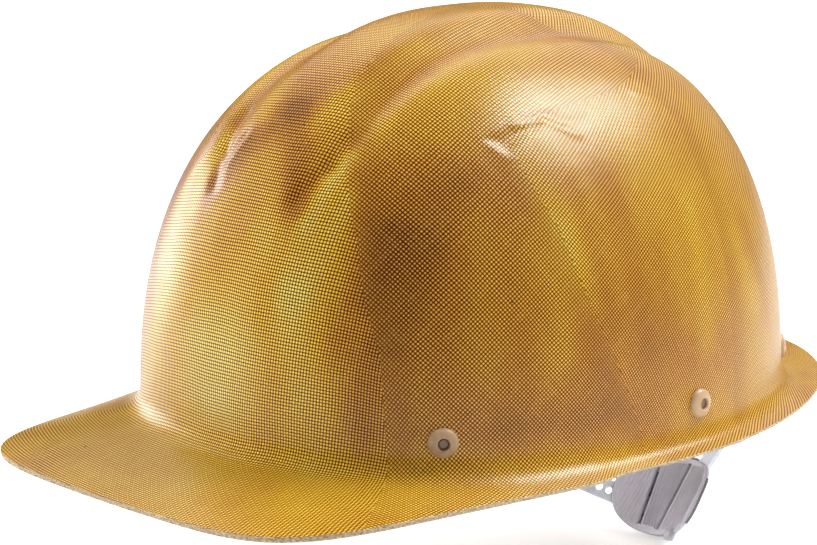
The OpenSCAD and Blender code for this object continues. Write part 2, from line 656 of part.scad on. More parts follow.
module adjuster_cover() {
    outer_z = wall_z + 1.4;
    pocket_r = pinion_r + tooth_add + 0.5;
    color("lightslategray") nape_frame() difference() {
        union() {
            curved_plate(cover_in, cover_out, cover_half_w, cover_low, outer_z, 6, 2.5);
            intersection() {
                curved_plate(nape_r + plate_t, cover_in + 0.4, cover_half_w, cover_low, outer_z, 6, 2.5);
                for (s = [-1, 1]) translate([-rail_half_w, 0, s * (wall_z + outer_z) / 2 - 0.7])
                    cube([2 * rail_half_w, cover_in + 1, 1.4]);
            }
            intersection() {
                axle(nape_r, boss_y, pocket_r + 1.4);
                translate([0, 0, -20]) difference() {
                    cylinder(h = 40, r = boss_y + 5);
                    translate([0, 0, -over]) cylinder(h = 42, r = cover_in, $fn = 128);
                }
            }
        }
        axle(cover_in - 3, cover_in + 0.6, pocket_r);
        axle(cover_in, boss_y + over, shaft_r + run_gap);
    }
}
// Toothed ring of the click stop, seated on the cover's boss
module ratchet_ring() {
    clicks = 24;
    color("dimgray") nape_frame() translate([0, boss_y + ratchet_t, 0]) rotate([90, 0, 0]) difference() {
        linear_extrude(ratchet_t) polygon([for (k = [0:2 * clicks - 1])
            let(r = ratchet_r - (k % 2) * 0.7, a = k * 180 / clicks) r * [cos(a), sin(a)]]);
        translate([0, 0, -over]) cylinder(h = ratchet_t + 2 * over, r = ratchet_r - ratchet_w);
    }
}
module pinion() {
    start_y = nape_r + plate_t + gap;
    end_y = cover_in + 0.3;
    root_r = pinion_r - 1.9;
    color("dimgray") nape_frame() difference() {
        union() {
            axle(start_y, knob_end - top_t, shaft_r);
            axle(start_y, end_y, root_r);
            for (k = [0:pinion_teeth - 1]) rotate([0, k * 360 / pinion_teeth, 0])
                translate([0, end_y, 0]) rotate([90, 0, 0]) linear_extrude(end_y - start_y) polygon([
                    [-tooth_w * 0.65, root_r - 0.4], [tooth_w * 0.65, root_r - 0.4],
                    [tooth_w * 0.35, pinion_r + tooth_add], [-tooth_w * 0.35, pinion_r + tooth_add]]);
        }
        axle(knob_end - screw_len - over, knob_end, screw_r + 0.05);
    }
}
module adjuster_knob() {
    hub_r = shaft_r + 1.6;
    color("slategray") nape_frame() difference() {
        translate([0, knob_end, 0]) rotate([90, 0, 0]) cylinder(h = knob_t, r1 = knob_face_r, r2 = knob_r);
        for (k = [0:knob_grips - 1]) rotate([0, k * 360 / knob_grips, 0])
            translate([0, 0, knob_r + 0.3]) axle(knob_y - over, knob_end + over, 1);
        difference() {
            axle(knob_y - over, knob_y + hollow_h, hollow_r);
            axle(knob_y - 2 * over, knob_y + hollow_h + over, hub_r);
        }
        axle(knob_y - over, knob_end - top_t + fit_gap, shaft_r + 0.04);
        axle(knob_end - 1.2, knob_end + over, screw_head_r + 0.4);
        axle(knob_y, knob_end + over, screw_r + 0.2);
    }
}
// Split spring ring in the knob's hollow, with two noses that ride the toothed ring
module detent_spring() {
    outer_r = hollow_r - 0.05;
    inner_r = outer_r - 0.8;
    y0 = knob_y + 0.2;
    y1 = y0 + 1;
    color("silver") nape_frame() {
        difference() {
            axle(y0, y1, outer_r);
            axle(y0 - over, y1 + over, inner_r);
            translate([-1.2, y0 - over, 0]) cube([2.4, 3 * over, 2 * knob_r]);
        }
        for (s = [-1, 1]) translate([s * (ratchet_r + inner_r + 0.3) / 2, 0, 0])
            axle(y0, y1, (inner_r - ratchet_r + 0.1) / 2);
    }
}
module knob_screw() {
    head_y = knob_end - 1.1;
    color("silver") nape_frame() difference() {
        union() {
            axle(head_y, head_y + 1, screw_head_r);
            axle(knob_end - screw_len, head_y + 0.2, screw_r);
        }
        for (a = [0, 90]) rotate([0, a, 0]) translate([-1.7, head_y + 0.5, -0.35]) cube([3.4, 2, 0.7]);
    }
}

shell();
shell_rivets();
rivet_pins();
rivet_washers();
anchor_front_left();
anchor_front_right();
anchor_side_left();
anchor_side_right();
anchor_rear_left();
anchor_rear_right();
crown_web_side();
crown_web_left_front();
crown_web_right_front();
headband();
headband_studs();
sweatband();
sweatband_studs();
nape_strap_left();
nape_strap_right();
nape_plate();
adjuster_cover();
ratchet_ring();
pinion();
detent_spring();
adjuster_knob();
knob_screw();
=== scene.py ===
import math

import bpy
import bmesh
import numpy as np
from mathutils import Matrix, Vector


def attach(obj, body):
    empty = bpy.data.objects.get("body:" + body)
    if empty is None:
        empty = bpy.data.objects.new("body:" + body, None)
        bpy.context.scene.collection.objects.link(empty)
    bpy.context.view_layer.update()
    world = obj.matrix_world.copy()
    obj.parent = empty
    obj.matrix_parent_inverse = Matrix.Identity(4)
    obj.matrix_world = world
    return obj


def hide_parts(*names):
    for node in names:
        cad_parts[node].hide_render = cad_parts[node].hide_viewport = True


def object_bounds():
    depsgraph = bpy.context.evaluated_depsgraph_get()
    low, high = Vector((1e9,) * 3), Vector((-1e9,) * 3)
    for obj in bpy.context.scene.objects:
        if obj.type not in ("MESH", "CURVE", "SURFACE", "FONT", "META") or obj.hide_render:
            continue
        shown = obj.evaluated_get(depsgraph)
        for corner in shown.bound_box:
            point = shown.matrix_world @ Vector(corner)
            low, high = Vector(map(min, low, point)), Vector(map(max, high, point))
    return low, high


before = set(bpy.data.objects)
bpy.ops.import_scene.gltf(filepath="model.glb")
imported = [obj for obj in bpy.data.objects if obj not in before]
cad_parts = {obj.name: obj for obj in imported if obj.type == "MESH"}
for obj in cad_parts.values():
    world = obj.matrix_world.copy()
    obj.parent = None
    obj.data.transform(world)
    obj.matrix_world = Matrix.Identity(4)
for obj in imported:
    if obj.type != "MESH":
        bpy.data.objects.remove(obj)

CAD_BOX = [list(corner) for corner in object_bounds()]
MM = 0.001

# Shell, in millimetres, as in the frame: -Y ahead, +X to the wearer's left, +Z up
DOME_HALF_W = 104.0
DOME_FRONT = 119.7
DOME_REAR = 129.1
DOME_H = 146.3
WALL = 3.0
FRONT_SQUARE = 2.45
REAR_SQUARE = 2.19
FRONT_FULL = 2.49
REAR_FULL = 2.41
SIDE_FULL = 2.33
CROWN_SHIFT = 4.8
FOOT_Z = 5.1
SIDE_FOOT_Z = 3.0
FOOT_FILLET = 8.0
CREST_H = 4.1
CREST_HALF_W = 20.0
GROOVE_DEPTH = 3.1
GROOVE_X = 30.3
GROOVE_W = 7.5
CREST_START = 0.745
CREST_RUN = 0.38
GROOVE_START = 0.52
GROOVE_RUN = 0.28
RIM_HALF_W = 111.2
BROW_REACH = 127.7
RIM_REAR = 154.5
BROW_SQUARE = 2.2
RIM_SQUARE = 2.13
PEAK_HALF_W = 94.7
PEAK_REACH = 163.7
PEAK_SQUARE = 5.8
PEAK_JOIN = 9.0
PEAK_FADE = 0.35
PEAK_DROP = 5.1
REAR_RISE = 5.7
PEAK_EDGE = 2.0
RIM_EDGE = 1.2

# Shell mesh: columns round it, rows of the dome, fillet and brim; the inner wall has every fourth row
COLUMNS = 400
DOME_ROWS = 150
FILLET_ROWS = 10
RIM_ROWS = 26
INNER_STEP = 4

# Cloth: the threads' pitch, the row where it leaves the dome and runs straight on, the number of rows
# that give its slope there, and how much darker the side gore is, partly its own tone and partly painted
# shade
CLOTH_PITCH = 1.02
CLOTH_ROW = 143
SLOPE_ROWS = 8
SIDE_GORE_TONE_AND_SHADE = 0.17

# Rivets: angles from the front in degrees, on each side, and height
RIVET_FRONT = 43.5
RIVET_SIDE = 99.9
RIVET_REAR = 149.0
RIVET_Z = 15.4

# Crown webbing
WEB_W = 19.0
WEB_T = 1.3
BAR_IN = 13.9
BAR_UP = 19.0
BAR_R = 1.6
CROWN_Z = 106.3
LAYER_RISE = 3.7
BOW = 2.4
TAIL_LEN = 24.0
WEB_END = 0.93

# Headband and sweatband
BAND_HALF_W = 77.0
BAND_FRONT = 100.0
BAND_MID_Y = 6.0
BAND_SQUARE = 2.2
BAND_T = 1.6
BAND_H = 26.0
BAND_Z = 16.0
BAND_END_H = 14.0
SWEAT_T = 2.6
SWEAT_H = 31.0

# Nape adjuster: x across, y along the knob's axis to the rear, z up the plate
NAPE_TILT = 35.0
NAPE_Y = 72.3
NAPE_DROP = 26.0
NAPE_R = 50.0
PLATE_T = 2.0
PLATE_HALF_W = 22.2
PLATE_H = 34.5
PLATE_MID_Z = -3.75
PLATE_RIM = 0.45
SLOT_TOP_X = 7.9
SLOT_LOW_X = 5.05
SLOT_W = 2.3
SLOT_TOP_Z = PLATE_MID_Z + PLATE_H / 2 - 2.0
SLOT_LOW_Z = PLATE_MID_Z - PLATE_H / 2 + 2.4
SLOT_IN = 0.28
SLOT_OUT = 0.386
HINGE_X = 66.0
HINGE_Z = 27.0


# Shapes of the shell

def ramp(t):
    s = np.clip(t, 0, 1)
    return s * s * (3 - 2 * s)


def signed(v, n):
    return np.sign(v) * np.abs(v) ** n


def mix3(u, front, rear, side):
    ahead = np.clip(np.cos(u), 0, 1) ** 2
    behind = np.clip(-np.cos(u), 0, 1) ** 2
    return side + (front - side) * ahead + (rear - side) * behind


def outline(u, a, b, n):
    return ((np.abs(np.sin(u)) / a) ** n + (np.abs(np.cos(u)) / b) ** n) ** (-1 / n)


def egg(u, half_w, front, front_square, rear, rear_square):
    """Outline of a front and a rear half oval of one width."""
    ahead = outline(u, half_w, front, front_square)
    return np.where(np.cos(u) > 0, ahead, outline(u, half_w, rear, rear_square))


def foot_r(u):
    return egg(u, DOME_HALF_W, DOME_FRONT, FRONT_SQUARE, DOME_REAR, REAR_SQUARE)


def foot_height(u):
    return mix3(u, FOOT_Z, FOOT_Z, SIDE_FOOT_Z)


def fullness(u):
    return mix3(u, FRONT_FULL, REAR_FULL, SIDE_FULL)


def rim_r(u):
    brow = egg(u, RIM_HALF_W, BROW_REACH, BROW_SQUARE, RIM_REAR, RIM_SQUARE)
    peak = 1 + outline(u, PEAK_HALF_W, PEAK_REACH, PEAK_SQUARE) * ramp(np.cos(u) / PEAK_FADE)
    return (brow ** PEAK_JOIN + peak ** PEAK_JOIN) ** (1 / PEAK_JOIN)


def turned(u, r, z):
    return np.stack([r * np.sin(u), -r * np.cos(u), z + 0 * u], -1)


def crest(x, h):
    band = CREST_H * np.exp(-((x / CREST_HALF_W) ** 6))
    groove = GROOVE_DEPTH * np.exp(-(((np.abs(x) - GROOVE_X) / GROOVE_W) ** 2))
    return band * ramp((h - CREST_START) / CREST_RUN) - groove * ramp((h - GROOVE_START) / GROOVE_RUN)


def dome_point(u, up):
    m = fullness(u)
    z0 = foot_height(u)
    rho = np.clip(np.cos(up), 0, 1) ** (2 / m)
    h = np.sin(up) ** (2 / m)
    p = turned(u, foot_r(u) * rho, 0 * u)
    p[..., 1] += CROWN_SHIFT * h * h
    p[..., 2] = z0 + (DOME_H - z0) * h + crest(p[..., 0], h)
    return p


def foot_point(u):
    return turned(u, foot_r(u), foot_height(u))


def foot_up(u):
    return np.arcsin((FOOT_FILLET / (DOME_H - foot_height(u))) ** (fullness(u) / 2))


def rim_point(u):
    return turned(u, rim_r(u), mix3(u, -PEAK_DROP, REAR_RISE, 0))


def fillet_end(u):
    b = foot_point(u)
    e = rim_point(u)
    share = np.minimum(0.6, FOOT_FILLET / np.linalg.norm(e - b, axis=-1))
    return b + (e - b) * share[..., None]


def outer_rows(u):
    """Rings of points from just under the crown down to the rim."""
    rings = []
    for i in range(1, DOME_ROWS + 1):
        rings.append(dome_point(u, math.pi / 2 + (foot_up(u) - math.pi / 2) * i / DOME_ROWS))
    a = dome_point(u, foot_up(u))
    b = foot_point(u)
    c = fillet_end(u)
    for i in range(1, FILLET_ROWS + 1):
        t = i / FILLET_ROWS
        rings.append(a * (1 - t) ** 2 + b * 2 * t * (1 - t) + c * t * t)
    for i in range(1, RIM_ROWS + 1):
        rings.append(c + (rim_point(u) - c) * i / RIM_ROWS)
    return np.array(rings)


def wall_point(angle, z):
    """Point of the dome's wall at an angle from the front, in degrees, and a height."""
    u = np.radians(angle)
    h = (z - foot_height(u)) / (DOME_H - foot_height(u))
    return turned(u, foot_r(u) * (1 - h ** fullness(u)) ** (1 / fullness(u)), z)


def wall_outward(angle):
    """Level direction that the wall faces at the height of the rivets."""
    d = wall_point(angle + 0.5, RIVET_Z) - wall_point(angle - 0.5, RIVET_Z)
    return unit(np.array([d[1], -d[0], 0]))


# Mesh helpers

def unit(v):
    return v / np.maximum(np.linalg.norm(v, axis=-1, keepdims=True), 1e-9)


def linked(name, data):
    """New object in the scene, from a mesh, a camera or a light."""
    made = bpy.data.objects.new(name, data)
    bpy.context.scene.collection.objects.link(made)
    return made


def mesh_piece(name, points, faces, material, smooth=True):
    """Object from points in millimetres."""
    mesh = bpy.data.meshes.new(name)
    mesh.from_pydata((np.asarray(points, float) * MM).tolist(), [], [list(map(int, f)) for f in faces])
    mesh.validate()
    mesh.materials.append(material)
    mesh.polygons.foreach_set("use_smooth", [smooth] * len(mesh.polygons))
    piece = linked(name, mesh)
    return piece


def tube_faces(rings, sides, caps=True):
    """Faces that join rings of equal numbers of points."""
    faces = []
    for i in range(rings - 1):
        for j in range(sides):
            a = i * sides + j
            b = i * sides + (j + 1) % sides
            faces.append((a, b, b + sides, a + sides))
    if caps:
        faces.append(tuple(range(sides))[::-1])
        faces.append(tuple(range((rings - 1) * sides, rings * sides)))
    return faces


def edit_mesh(piece, change):
    """Changes a piece's mesh by a function of its bmesh."""
    bm = bmesh.new()
    bm.from_mesh(piece.data)
    change(bm)
    bm.to_mesh(piece.data)
    bm.free()


def face_outward(bm):
    bmesh.ops.recalc_face_normals(bm, faces=bm.faces)


def sharpen(piece, degrees):
    """Smooth shading that stops at edges sharper than an angle."""

    def change(bm):
        face_outward(bm)
        for edge in bm.edges:
            edge.smooth = len(edge.link_faces) == 2 and edge.calc_face_angle(0) < math.radians(degrees)

    edit_mesh(piece, change)


def join(name, pieces):
    """Joins pieces of one slot into the first."""
    bpy.ops.object.select_all(action="DESELECT")
    for piece in pieces:
        piece.select_set(True)
    bpy.context.view_layer.objects.active = pieces[0]
    bpy.ops.object.join()
    pieces[0].name = name
    pieces[0].data.name = name
    return pieces[0]


def vertex_value(mesh, name, values):
    attribute = mesh.attributes.new(name, "FLOAT", "POINT")
    attribute.data.foreach_set("value", np.asarray(values, np.float32))


def vertex_uv(mesh, name, pairs, mirrored=False):
    """UV map from one pair of values a vertex; a mirrored one changes sign across x = 0, face by face."""
    layer = mesh.uv_layers.new(name=name)
    corners = np.empty(len(mesh.loops), np.int32)
    mesh.loops.foreach_get("vertex_index", corners)
    pairs = np.asarray(pairs)[corners]
    if mirrored:
        place = np.empty(len(mesh.polygons) * 3)
        mesh.polygons.foreach_get("center", place)
        sizes = np.empty(len(mesh.polygons), np.int32)
        mesh.polygons.foreach_get("loop_total", sizes)
        pairs[:, 0] *= np.repeat(np.where(place[::3] < 0, -1.0, 1.0), sizes)
    layer.data.foreach_set("uv", pairs.astype(np.float32).ravel())


# Material helpers

class Nodes:
    """Short ways to add and link the nodes of a material or world."""

    def __init__(self, owner):
        owner.use_nodes = True
        self.owner = owner
        self.tree = owner.node_tree
        self.surface = self.tree.nodes.get("Principled BSDF")

    def add(self, kind, inputs=None, **settings):
        node = self.tree.nodes.new(kind)
        for key, value in settings.items():
            setattr(node, key, value)
        for key, value in (inputs or {}).items():
            if value is not None:
                self.put(node.inputs[key], value)
        return node

    def put(self, socket, value):
        if isinstance(value, bpy.types.NodeSocket):
            self.tree.links.new(value, socket)
        else:
            socket.default_value = value

    def math(self, operation, a, b=0.0, c=0.0, clamp=False):
        node = self.add("ShaderNodeMath", {0: a, 1: b, 2: c}, operation=operation, use_clamp=clamp)
        return node.outputs[0]

    def times(self, a, b):
        return self.math("MULTIPLY", a, b)

    def vector(self, operation, a, b=None):
        node = self.add("ShaderNodeVectorMath", {0: a, 1: b}, operation=operation)
        return node.outputs["Value" if operation == "LENGTH" else "Vector"]

    def split(self, vector):
        return self.add("ShaderNodeSeparateXYZ", {0: vector}).outputs

    def mix(self, factor, a, b, blend="MIX"):
        node = self.add("ShaderNodeMix", {0: factor, 6: a, 7: b}, data_type="RGBA", blend_type=blend)
        return node.outputs[2]

    def tint(self, colour, share, strength, tone):
        return self.mix(self.times(share, strength), colour, (*tone, 1))

    def lerp(self, factor, a, b):
        return self.add("ShaderNodeMix", {0: factor, 2: a, 3: b}, data_type="FLOAT").outputs[0]

    def span(self, value, low, high, to_low=0.0, to_high=1.0):
        inputs = {0: value, 1: low, 2: high, 3: to_low, 4: to_high}
        return self.add("ShaderNodeMapRange", inputs, interpolation_type="SMOOTHSTEP").outputs[0]

    def noise(self, place, scale, detail=3.0, rough=0.5, stretch=None):
        if stretch is not None:
            place = self.vector("MULTIPLY", place, stretch)
        inputs = {"Vector": place, "Scale": scale, "Detail": detail, "Roughness": rough}
        return self.add("ShaderNodeTexNoise", inputs).outputs[0]

    def cells(self, place, scale):
        return self.add("ShaderNodeTexVoronoi", {"Vector": place, "Scale": scale}).outputs["Distance"]

    def ramp(self, value, stops):
        node = self.add("ShaderNodeValToRGB", {0: value})
        elements = node.color_ramp.elements
        while len(elements) < len(stops):
            elements.new(0.5)
        for element, (place, colour) in zip(elements, stops):
            element.position = place
            element.color = (*colour, 1)
        return node.outputs[0]

    def object_place(self):
        return self.add("ShaderNodeTexCoord").outputs["Object"]

    def uv(self, name):
        return self.add("ShaderNodeUVMap", uv_map=name).outputs[0]

    def value(self, name):
        return self.add("ShaderNodeAttribute", attribute_name=name).outputs["Fac"]

    def bump(self, height, distance, strength, normal=None):
        inputs = {"Strength": strength, "Distance": distance, "Height": height, "Normal": normal}
        return self.add("ShaderNodeBump", inputs).outputs[0]

    def soft_edges(self, radius):
        return self.add("ShaderNodeBevel", {"Radius": radius}, samples=6).outputs[0]

    def finish(self, colour, roughness, normal=None, **fixed):
        self.put(self.surface.inputs["Base Color"], colour)
        self.put(self.surface.inputs["Roughness"], roughness)
        if normal is not None:
            self.put(self.surface.inputs["Normal"], normal)
        for key, value in fixed.items():
            self.put(self.surface.inputs[key.replace("_", " ")], value)
        return self.owner


def material_nodes(name):
    return Nodes(bpy.data.materials.new(name))


def weave(n, uv, pitch):
    """Plain weave over a UV in millimetres: thread height, 1 where the warp is on top, and the knots."""
    place = n.split(uv)
    x = n.math("DIVIDE", place[0], pitch)
    y = n.math("DIVIDE", place[1], pitch)
    across = n.math("SINE", n.times(n.math("FRACT", x), math.pi))
    along = n.math("SINE", n.times(n.math("FRACT", y), math.pi))
    cell = n.math("ADD", n.math("FLOOR", x), n.math("FLOOR", y))
    warp = n.math("MODULO", n.math("ADD", cell, 4000.0), 2.0)
    over = n.times(across, n.math("MULTIPLY_ADD", along, 0.5, 0.5))
    under = n.times(along, n.math("MULTIPLY_ADD", across, 0.5, 0.5))
    return n.lerp(warp, over, under), warp, n.times(across, along)


# Materials

def laid_cloth(n, place):
    """UV of the gore that a place is in, its threads swaying a little."""
    sway = n.times(n.math("SUBTRACT", n.noise(place, 14.0, 2.0), 0.5), 7.0)
    shift = n.add("ShaderNodeCombineXYZ", {0: sway, 1: n.times(sway, 0.7)})
    gore = n.mix(n.math("GREATER_THAN", n.value("front_seam"), 0.0), n.uv("cloth_front"), n.uv("cloth_bias"))
    gore = n.mix(n.math("GREATER_THAN", n.value("rear_seam"), 0.0), gore, n.uv("cloth_rear"))
    return n.vector("ADD", gore, shift.outputs[0])


def resin_colour(n, place):
    """Amber of the resin, which pools in broad vertical streaks; a vertex value adds lighter and darker
    streaks, partly the resin's own and partly painted light and shade.
    """
    broad = n.noise(place, 26.0, 3.0, 0.55, (1.0, 1.0, 0.22))
    tone = n.math("ADD", n.times(n.math("SUBTRACT", broad, 0.5), 0.5), n.value("resin_tone_and_painted_light"))
    return n.ramp(n.math("ADD", tone, 0.5, clamp=True), (
        (0.0, (0.400, 0.110, 0.003)),
        (0.35, (0.700, 0.268, 0.006)),
        (0.62, (0.950, 0.545, 0.022)),
        (1.0, (1.000, 0.790, 0.160))))


def laminate_material():
    """Amber resin over plain-woven cloth, laid in gores."""
    n = material_nodes("amber_laminate")
    place = n.object_place()
    cloth = laid_cloth(n, place)
    height, warp, knot = weave(n, cloth, CLOTH_PITCH)
    thread = resin_colour(n, place)
    gap = n.mix(1.0, thread, (0.11, 0.048, 0.004, 1), "MULTIPLY")
    lit = n.times(n.span(knot, 0.10, 0.72), n.lerp(warp, 1.0, 0.86))
    colour = n.mix(lit, gap, thread)
    # Painted highlight: the tops of the knots are tinted pale gold, as glints on the resin
    colour = n.tint(colour, n.span(knot, 0.55, 1.0), 0.42, (1.0, 0.72, 0.15))

    # Threads vary along their length
    slub_x = n.noise(cloth, 1.0, 2.0, stretch=(0.9, 0.06, 0.0))
    slub_y = n.noise(cloth, 1.0, 2.0, stretch=(0.06, 0.9, 0.0))
    slub = n.lerp(warp, slub_x, slub_y)
    colour = n.tint(colour, n.span(slub, 0.50, 0.72), 0.09, (0.95, 0.66, 0.16))
    colour = n.tint(colour, n.span(slub, 0.46, 0.30), 0.10, (0.20, 0.070, 0.004))

    # Seams of the gores, and dark specks in the resin
    for name, side in (("front_seam", 1.0), ("rear_seam", -1.0), ("back_seam", 1.0)):
        d = n.times(n.value(name), side)
        lap = n.times(n.span(d, -0.4, 0.4), n.span(d, 15.0, 3.0))
        lap = n.times(lap, n.math("SUBTRACT", 1.0, n.value("brim")))
        colour = n.tint(colour, lap, 0.22, (0.26, 0.090, 0.008))
    colour = n.mix(n.span(n.cells(place, 46.0), 0.030, 0.016), colour, (0.07, 0.030, 0.010, 1))

    # Raw cloth at the cut edge
    edge = n.value("edge")
    fibre = n.noise(place, 900.0, 3.0, 0.7, (1.0, 1.0, 3.0))
    raw = n.ramp(fibre, ((0.34, (0.26, 0.17, 0.09)), (0.62, (0.86, 0.70, 0.48))))
    colour = n.mix(edge, colour, raw)

    low = n.bump(n.noise(place, 120.0, 2.0), 0.0012, 0.15)
    relief = n.math("ADD", height, n.times(n.noise(place, 320.0, 2.0, 0.6), 0.25))
    relief = n.math("ADD", relief, n.times(n.times(edge, fibre), 6.0))
    rough = n.lerp(edge, n.span(lit, 0.0, 1.0, 0.50, 0.36), 0.85)
    return n.finish(colour, rough, n.bump(relief, 0.00022, 0.75, low), Specular_IOR_Level=0.1,
                    Coat_Normal=n.bump(relief, 0.00022, 0.20, low), Coat_Roughness=0.22, Coat_IOR=1.5,
                    Coat_Weight=n.math("SUBTRACT", 0.6, n.times(edge, 0.6)))


def plastic_material(name, colour, rough, grain=900.0, edges=0.0003, spread=0.10, through=0.0, hollow=None):
    """Moulded plastic with fine grain, handling marks and slightly rounded edges, and if asked a painted
    shade in a hollow.
    """
    n = material_nodes(name)
    place = n.object_place()
    marks = n.noise(place, 60.0, 4.0, 0.6)
    dark = tuple(c * (1 - spread * 2) for c in colour)
    light = tuple(min(1, c * (1 + spread)) for c in colour)
    shade = n.ramp(marks, ((0.30, dark), (0.55, colour), (0.80, light)))
    # Painted shade: the hollow in a rivet head's middle is tinted darker
    if hollow is not None:
        shade = n.mix(n.value("hollow"), shade, (*hollow, 1))
    normal = n.bump(n.noise(place, grain, 2.0), 0.00005, 0.5, n.soft_edges(edges))
    roughness = n.span(marks, 0.25, 0.75, rough * 0.85, min(1, rough * 1.25))
    return n.finish(shade, roughness, normal, Subsurface_Weight=through,
                    Subsurface_Radius=(0.004, 0.004, 0.005), Subsurface_Scale=1.0)


def webbing_material(name, colour, pitch):
    """Woven tape."""
    n = material_nodes(name)
    place = n.object_place()
    height, warp, knot = weave(n, n.uv("UVMap"), pitch)
    dirt = n.noise(place, 35.0, 3.0)
    base = n.ramp(dirt, ((0.30, tuple(c * 0.82 for c in colour)), (0.60, colour)))
    gap = n.mix(0.85, base, (0.30, 0.29, 0.27, 1), "MULTIPLY")
    shade = n.mix(n.span(height, 0.15, 0.75), gap, base)
    relief = n.math("ADD", height, n.times(n.noise(place, 1500.0, 2.0), 0.3))
    return n.finish(shade, 0.85, n.bump(relief, 0.00025, 0.8), Sheen_Weight=0.3, Sheen_Roughness=0.5)


def leather_material():
    """Dark sweatband leather with pores, creases and rows of small holes."""
    n = material_nodes("sweatband_leather")
    place = n.object_place()
    creases = n.noise(place, 110.0, 5.0, 0.65)
    tone = n.ramp(creases, ((0.30, (0.018, 0.015, 0.013)), (0.70, (0.055, 0.045, 0.038))))
    uv = n.split(n.uv("UVMap"))
    x, y = (n.math("SUBTRACT", n.math("FRACT", n.math("DIVIDE", uv[i], 4.0)), 0.5) for i in (0, 1))
    far = n.math("SQRT", n.math("ADD", n.times(x, x), n.times(y, y)))
    hole = n.times(n.span(far, 0.17, 0.12), n.span(n.math("ABSOLUTE", uv[0]), 11.0, 10.0))
    # Painted shade: the small holes are painted near black
    colour = n.mix(hole, tone, (0.003, 0.003, 0.003, 1))
    relief = n.math("SUBTRACT", n.math("ADD", n.cells(place, 900.0), creases), n.times(hole, 2.0))
    return n.finish(colour, n.span(creases, 0.3, 0.7, 0.55, 0.42), n.bump(relief, 0.00018, 0.6))


def steel_material():
    n = material_nodes("plated_steel")
    lines = n.noise(n.object_place(), 700.0, 2.0, 0.5, (1.0, 8.0, 1.0))
    shade = n.ramp(lines, ((0.3, (0.42, 0.42, 0.44)), (0.7, (0.66, 0.66, 0.66))))
    normal = n.bump(lines, 0.00003, 0.4, n.soft_edges(0.0002))
    return n.finish(shade, n.span(lines, 0.3, 0.7, 0.30, 0.45), normal, Metallic=1.0)


LAMINATE = laminate_material()
# Rivet heads get a darker tint in their hollow middles as painted shade
RIVET = plastic_material("rivet_plastic", (0.50, 0.335, 0.19), 0.34, spread=0.20, through=0.15,
                         hollow=(0.19, 0.115, 0.065))
PIN = plastic_material("pin_plastic", (0.22, 0.135, 0.075), 0.42)
ANCHOR = plastic_material("anchor_plastic", (0.66, 0.68, 0.70), 0.45, edges=0.0005, through=0.15)
BAND = plastic_material("headband_plastic", (0.52, 0.53, 0.56), 0.42, through=0.1)
STUD = plastic_material("stud_plastic", (0.16, 0.16, 0.17), 0.40)
STRAP = plastic_material("strap_plastic", (0.72, 0.77, 0.88), 0.30, through=0.35)
PLATE = plastic_material("plate_plastic", (0.68, 0.675, 0.765), 0.38, grain=500.0, through=0.1)
COVER = plastic_material("cover_plastic", (0.21, 0.21, 0.23), 0.42, edges=0.0004)
KNOB = plastic_material("knob_plastic", (0.27, 0.27, 0.285), 0.40, edges=0.0004)
WEBBING = webbing_material("webbing_tape", (0.72, 0.72, 0.67), 1.1)
THREAD = webbing_material("sewing_thread", (0.80, 0.80, 0.76), 0.5)
LEATHER = leather_material()
STEEL = steel_material()


# Shell

def cloth_place(points, centre, spin):
    """Lays cloth over the dome from a centre, nearly keeping distances: two coordinates in millimetres."""
    middle = np.array([0.0, 4.0, 10.0])
    mean_radius = 112.0
    d = unit(points - middle)
    c = unit(np.array(centre, float))
    e1 = unit(np.cross([0.0, 0.0, 1.0], c))
    e2 = np.cross(c, e1)
    angle = np.arccos(np.clip(d @ c, -1, 1))
    a = d @ e1
    b = d @ e2
    length = np.maximum(np.hypot(a, b), 1e-6)
    reach = mean_radius * angle / length
    s, k = math.sin(spin), math.cos(spin)
    return reach * (a * k - b * s), reach * (a * s + b * k)


def near_line(p, first, last):
    """Distance of each point from a straight line between two places."""
    a = np.array(first, float)
    along = np.array(last, float) - a
    share = np.clip((p - a) @ along / (along @ along), 0, 1)
    return np.linalg.norm(p - a - share[..., None] * along, axis=-1)


# Soft lines on the dome: two ends, half width, and the height of a crease
PAIRED_CREASES = (
    ((22, -100, 92), (29, -91, 104), 3.2, -1.1),
    ((29, -91, 104), (31, -80, 115), 3.6, -0.9))
CREASES = (
    ((63, -53, 114), (73, -47, 106.5), 1.6, 0.12),
    ((67, -39, 116.5), (69, -26, 118), 1.1, 0.45),
    ((69, -27, 118), (75, -16, 112), 1.5, 0.35),
    ((70, -24, 118), (72, -12, 116), 2.2, -0.30),
    ((65, 22, 121.5), (66, 31, 119), 1.2, 0.40),
    ((-23, -103, 92), (-15, -90, 110), 1.4, 0.55),
    ((-25, -102, 93), (-18, -89, 110), 2.2, -0.45))
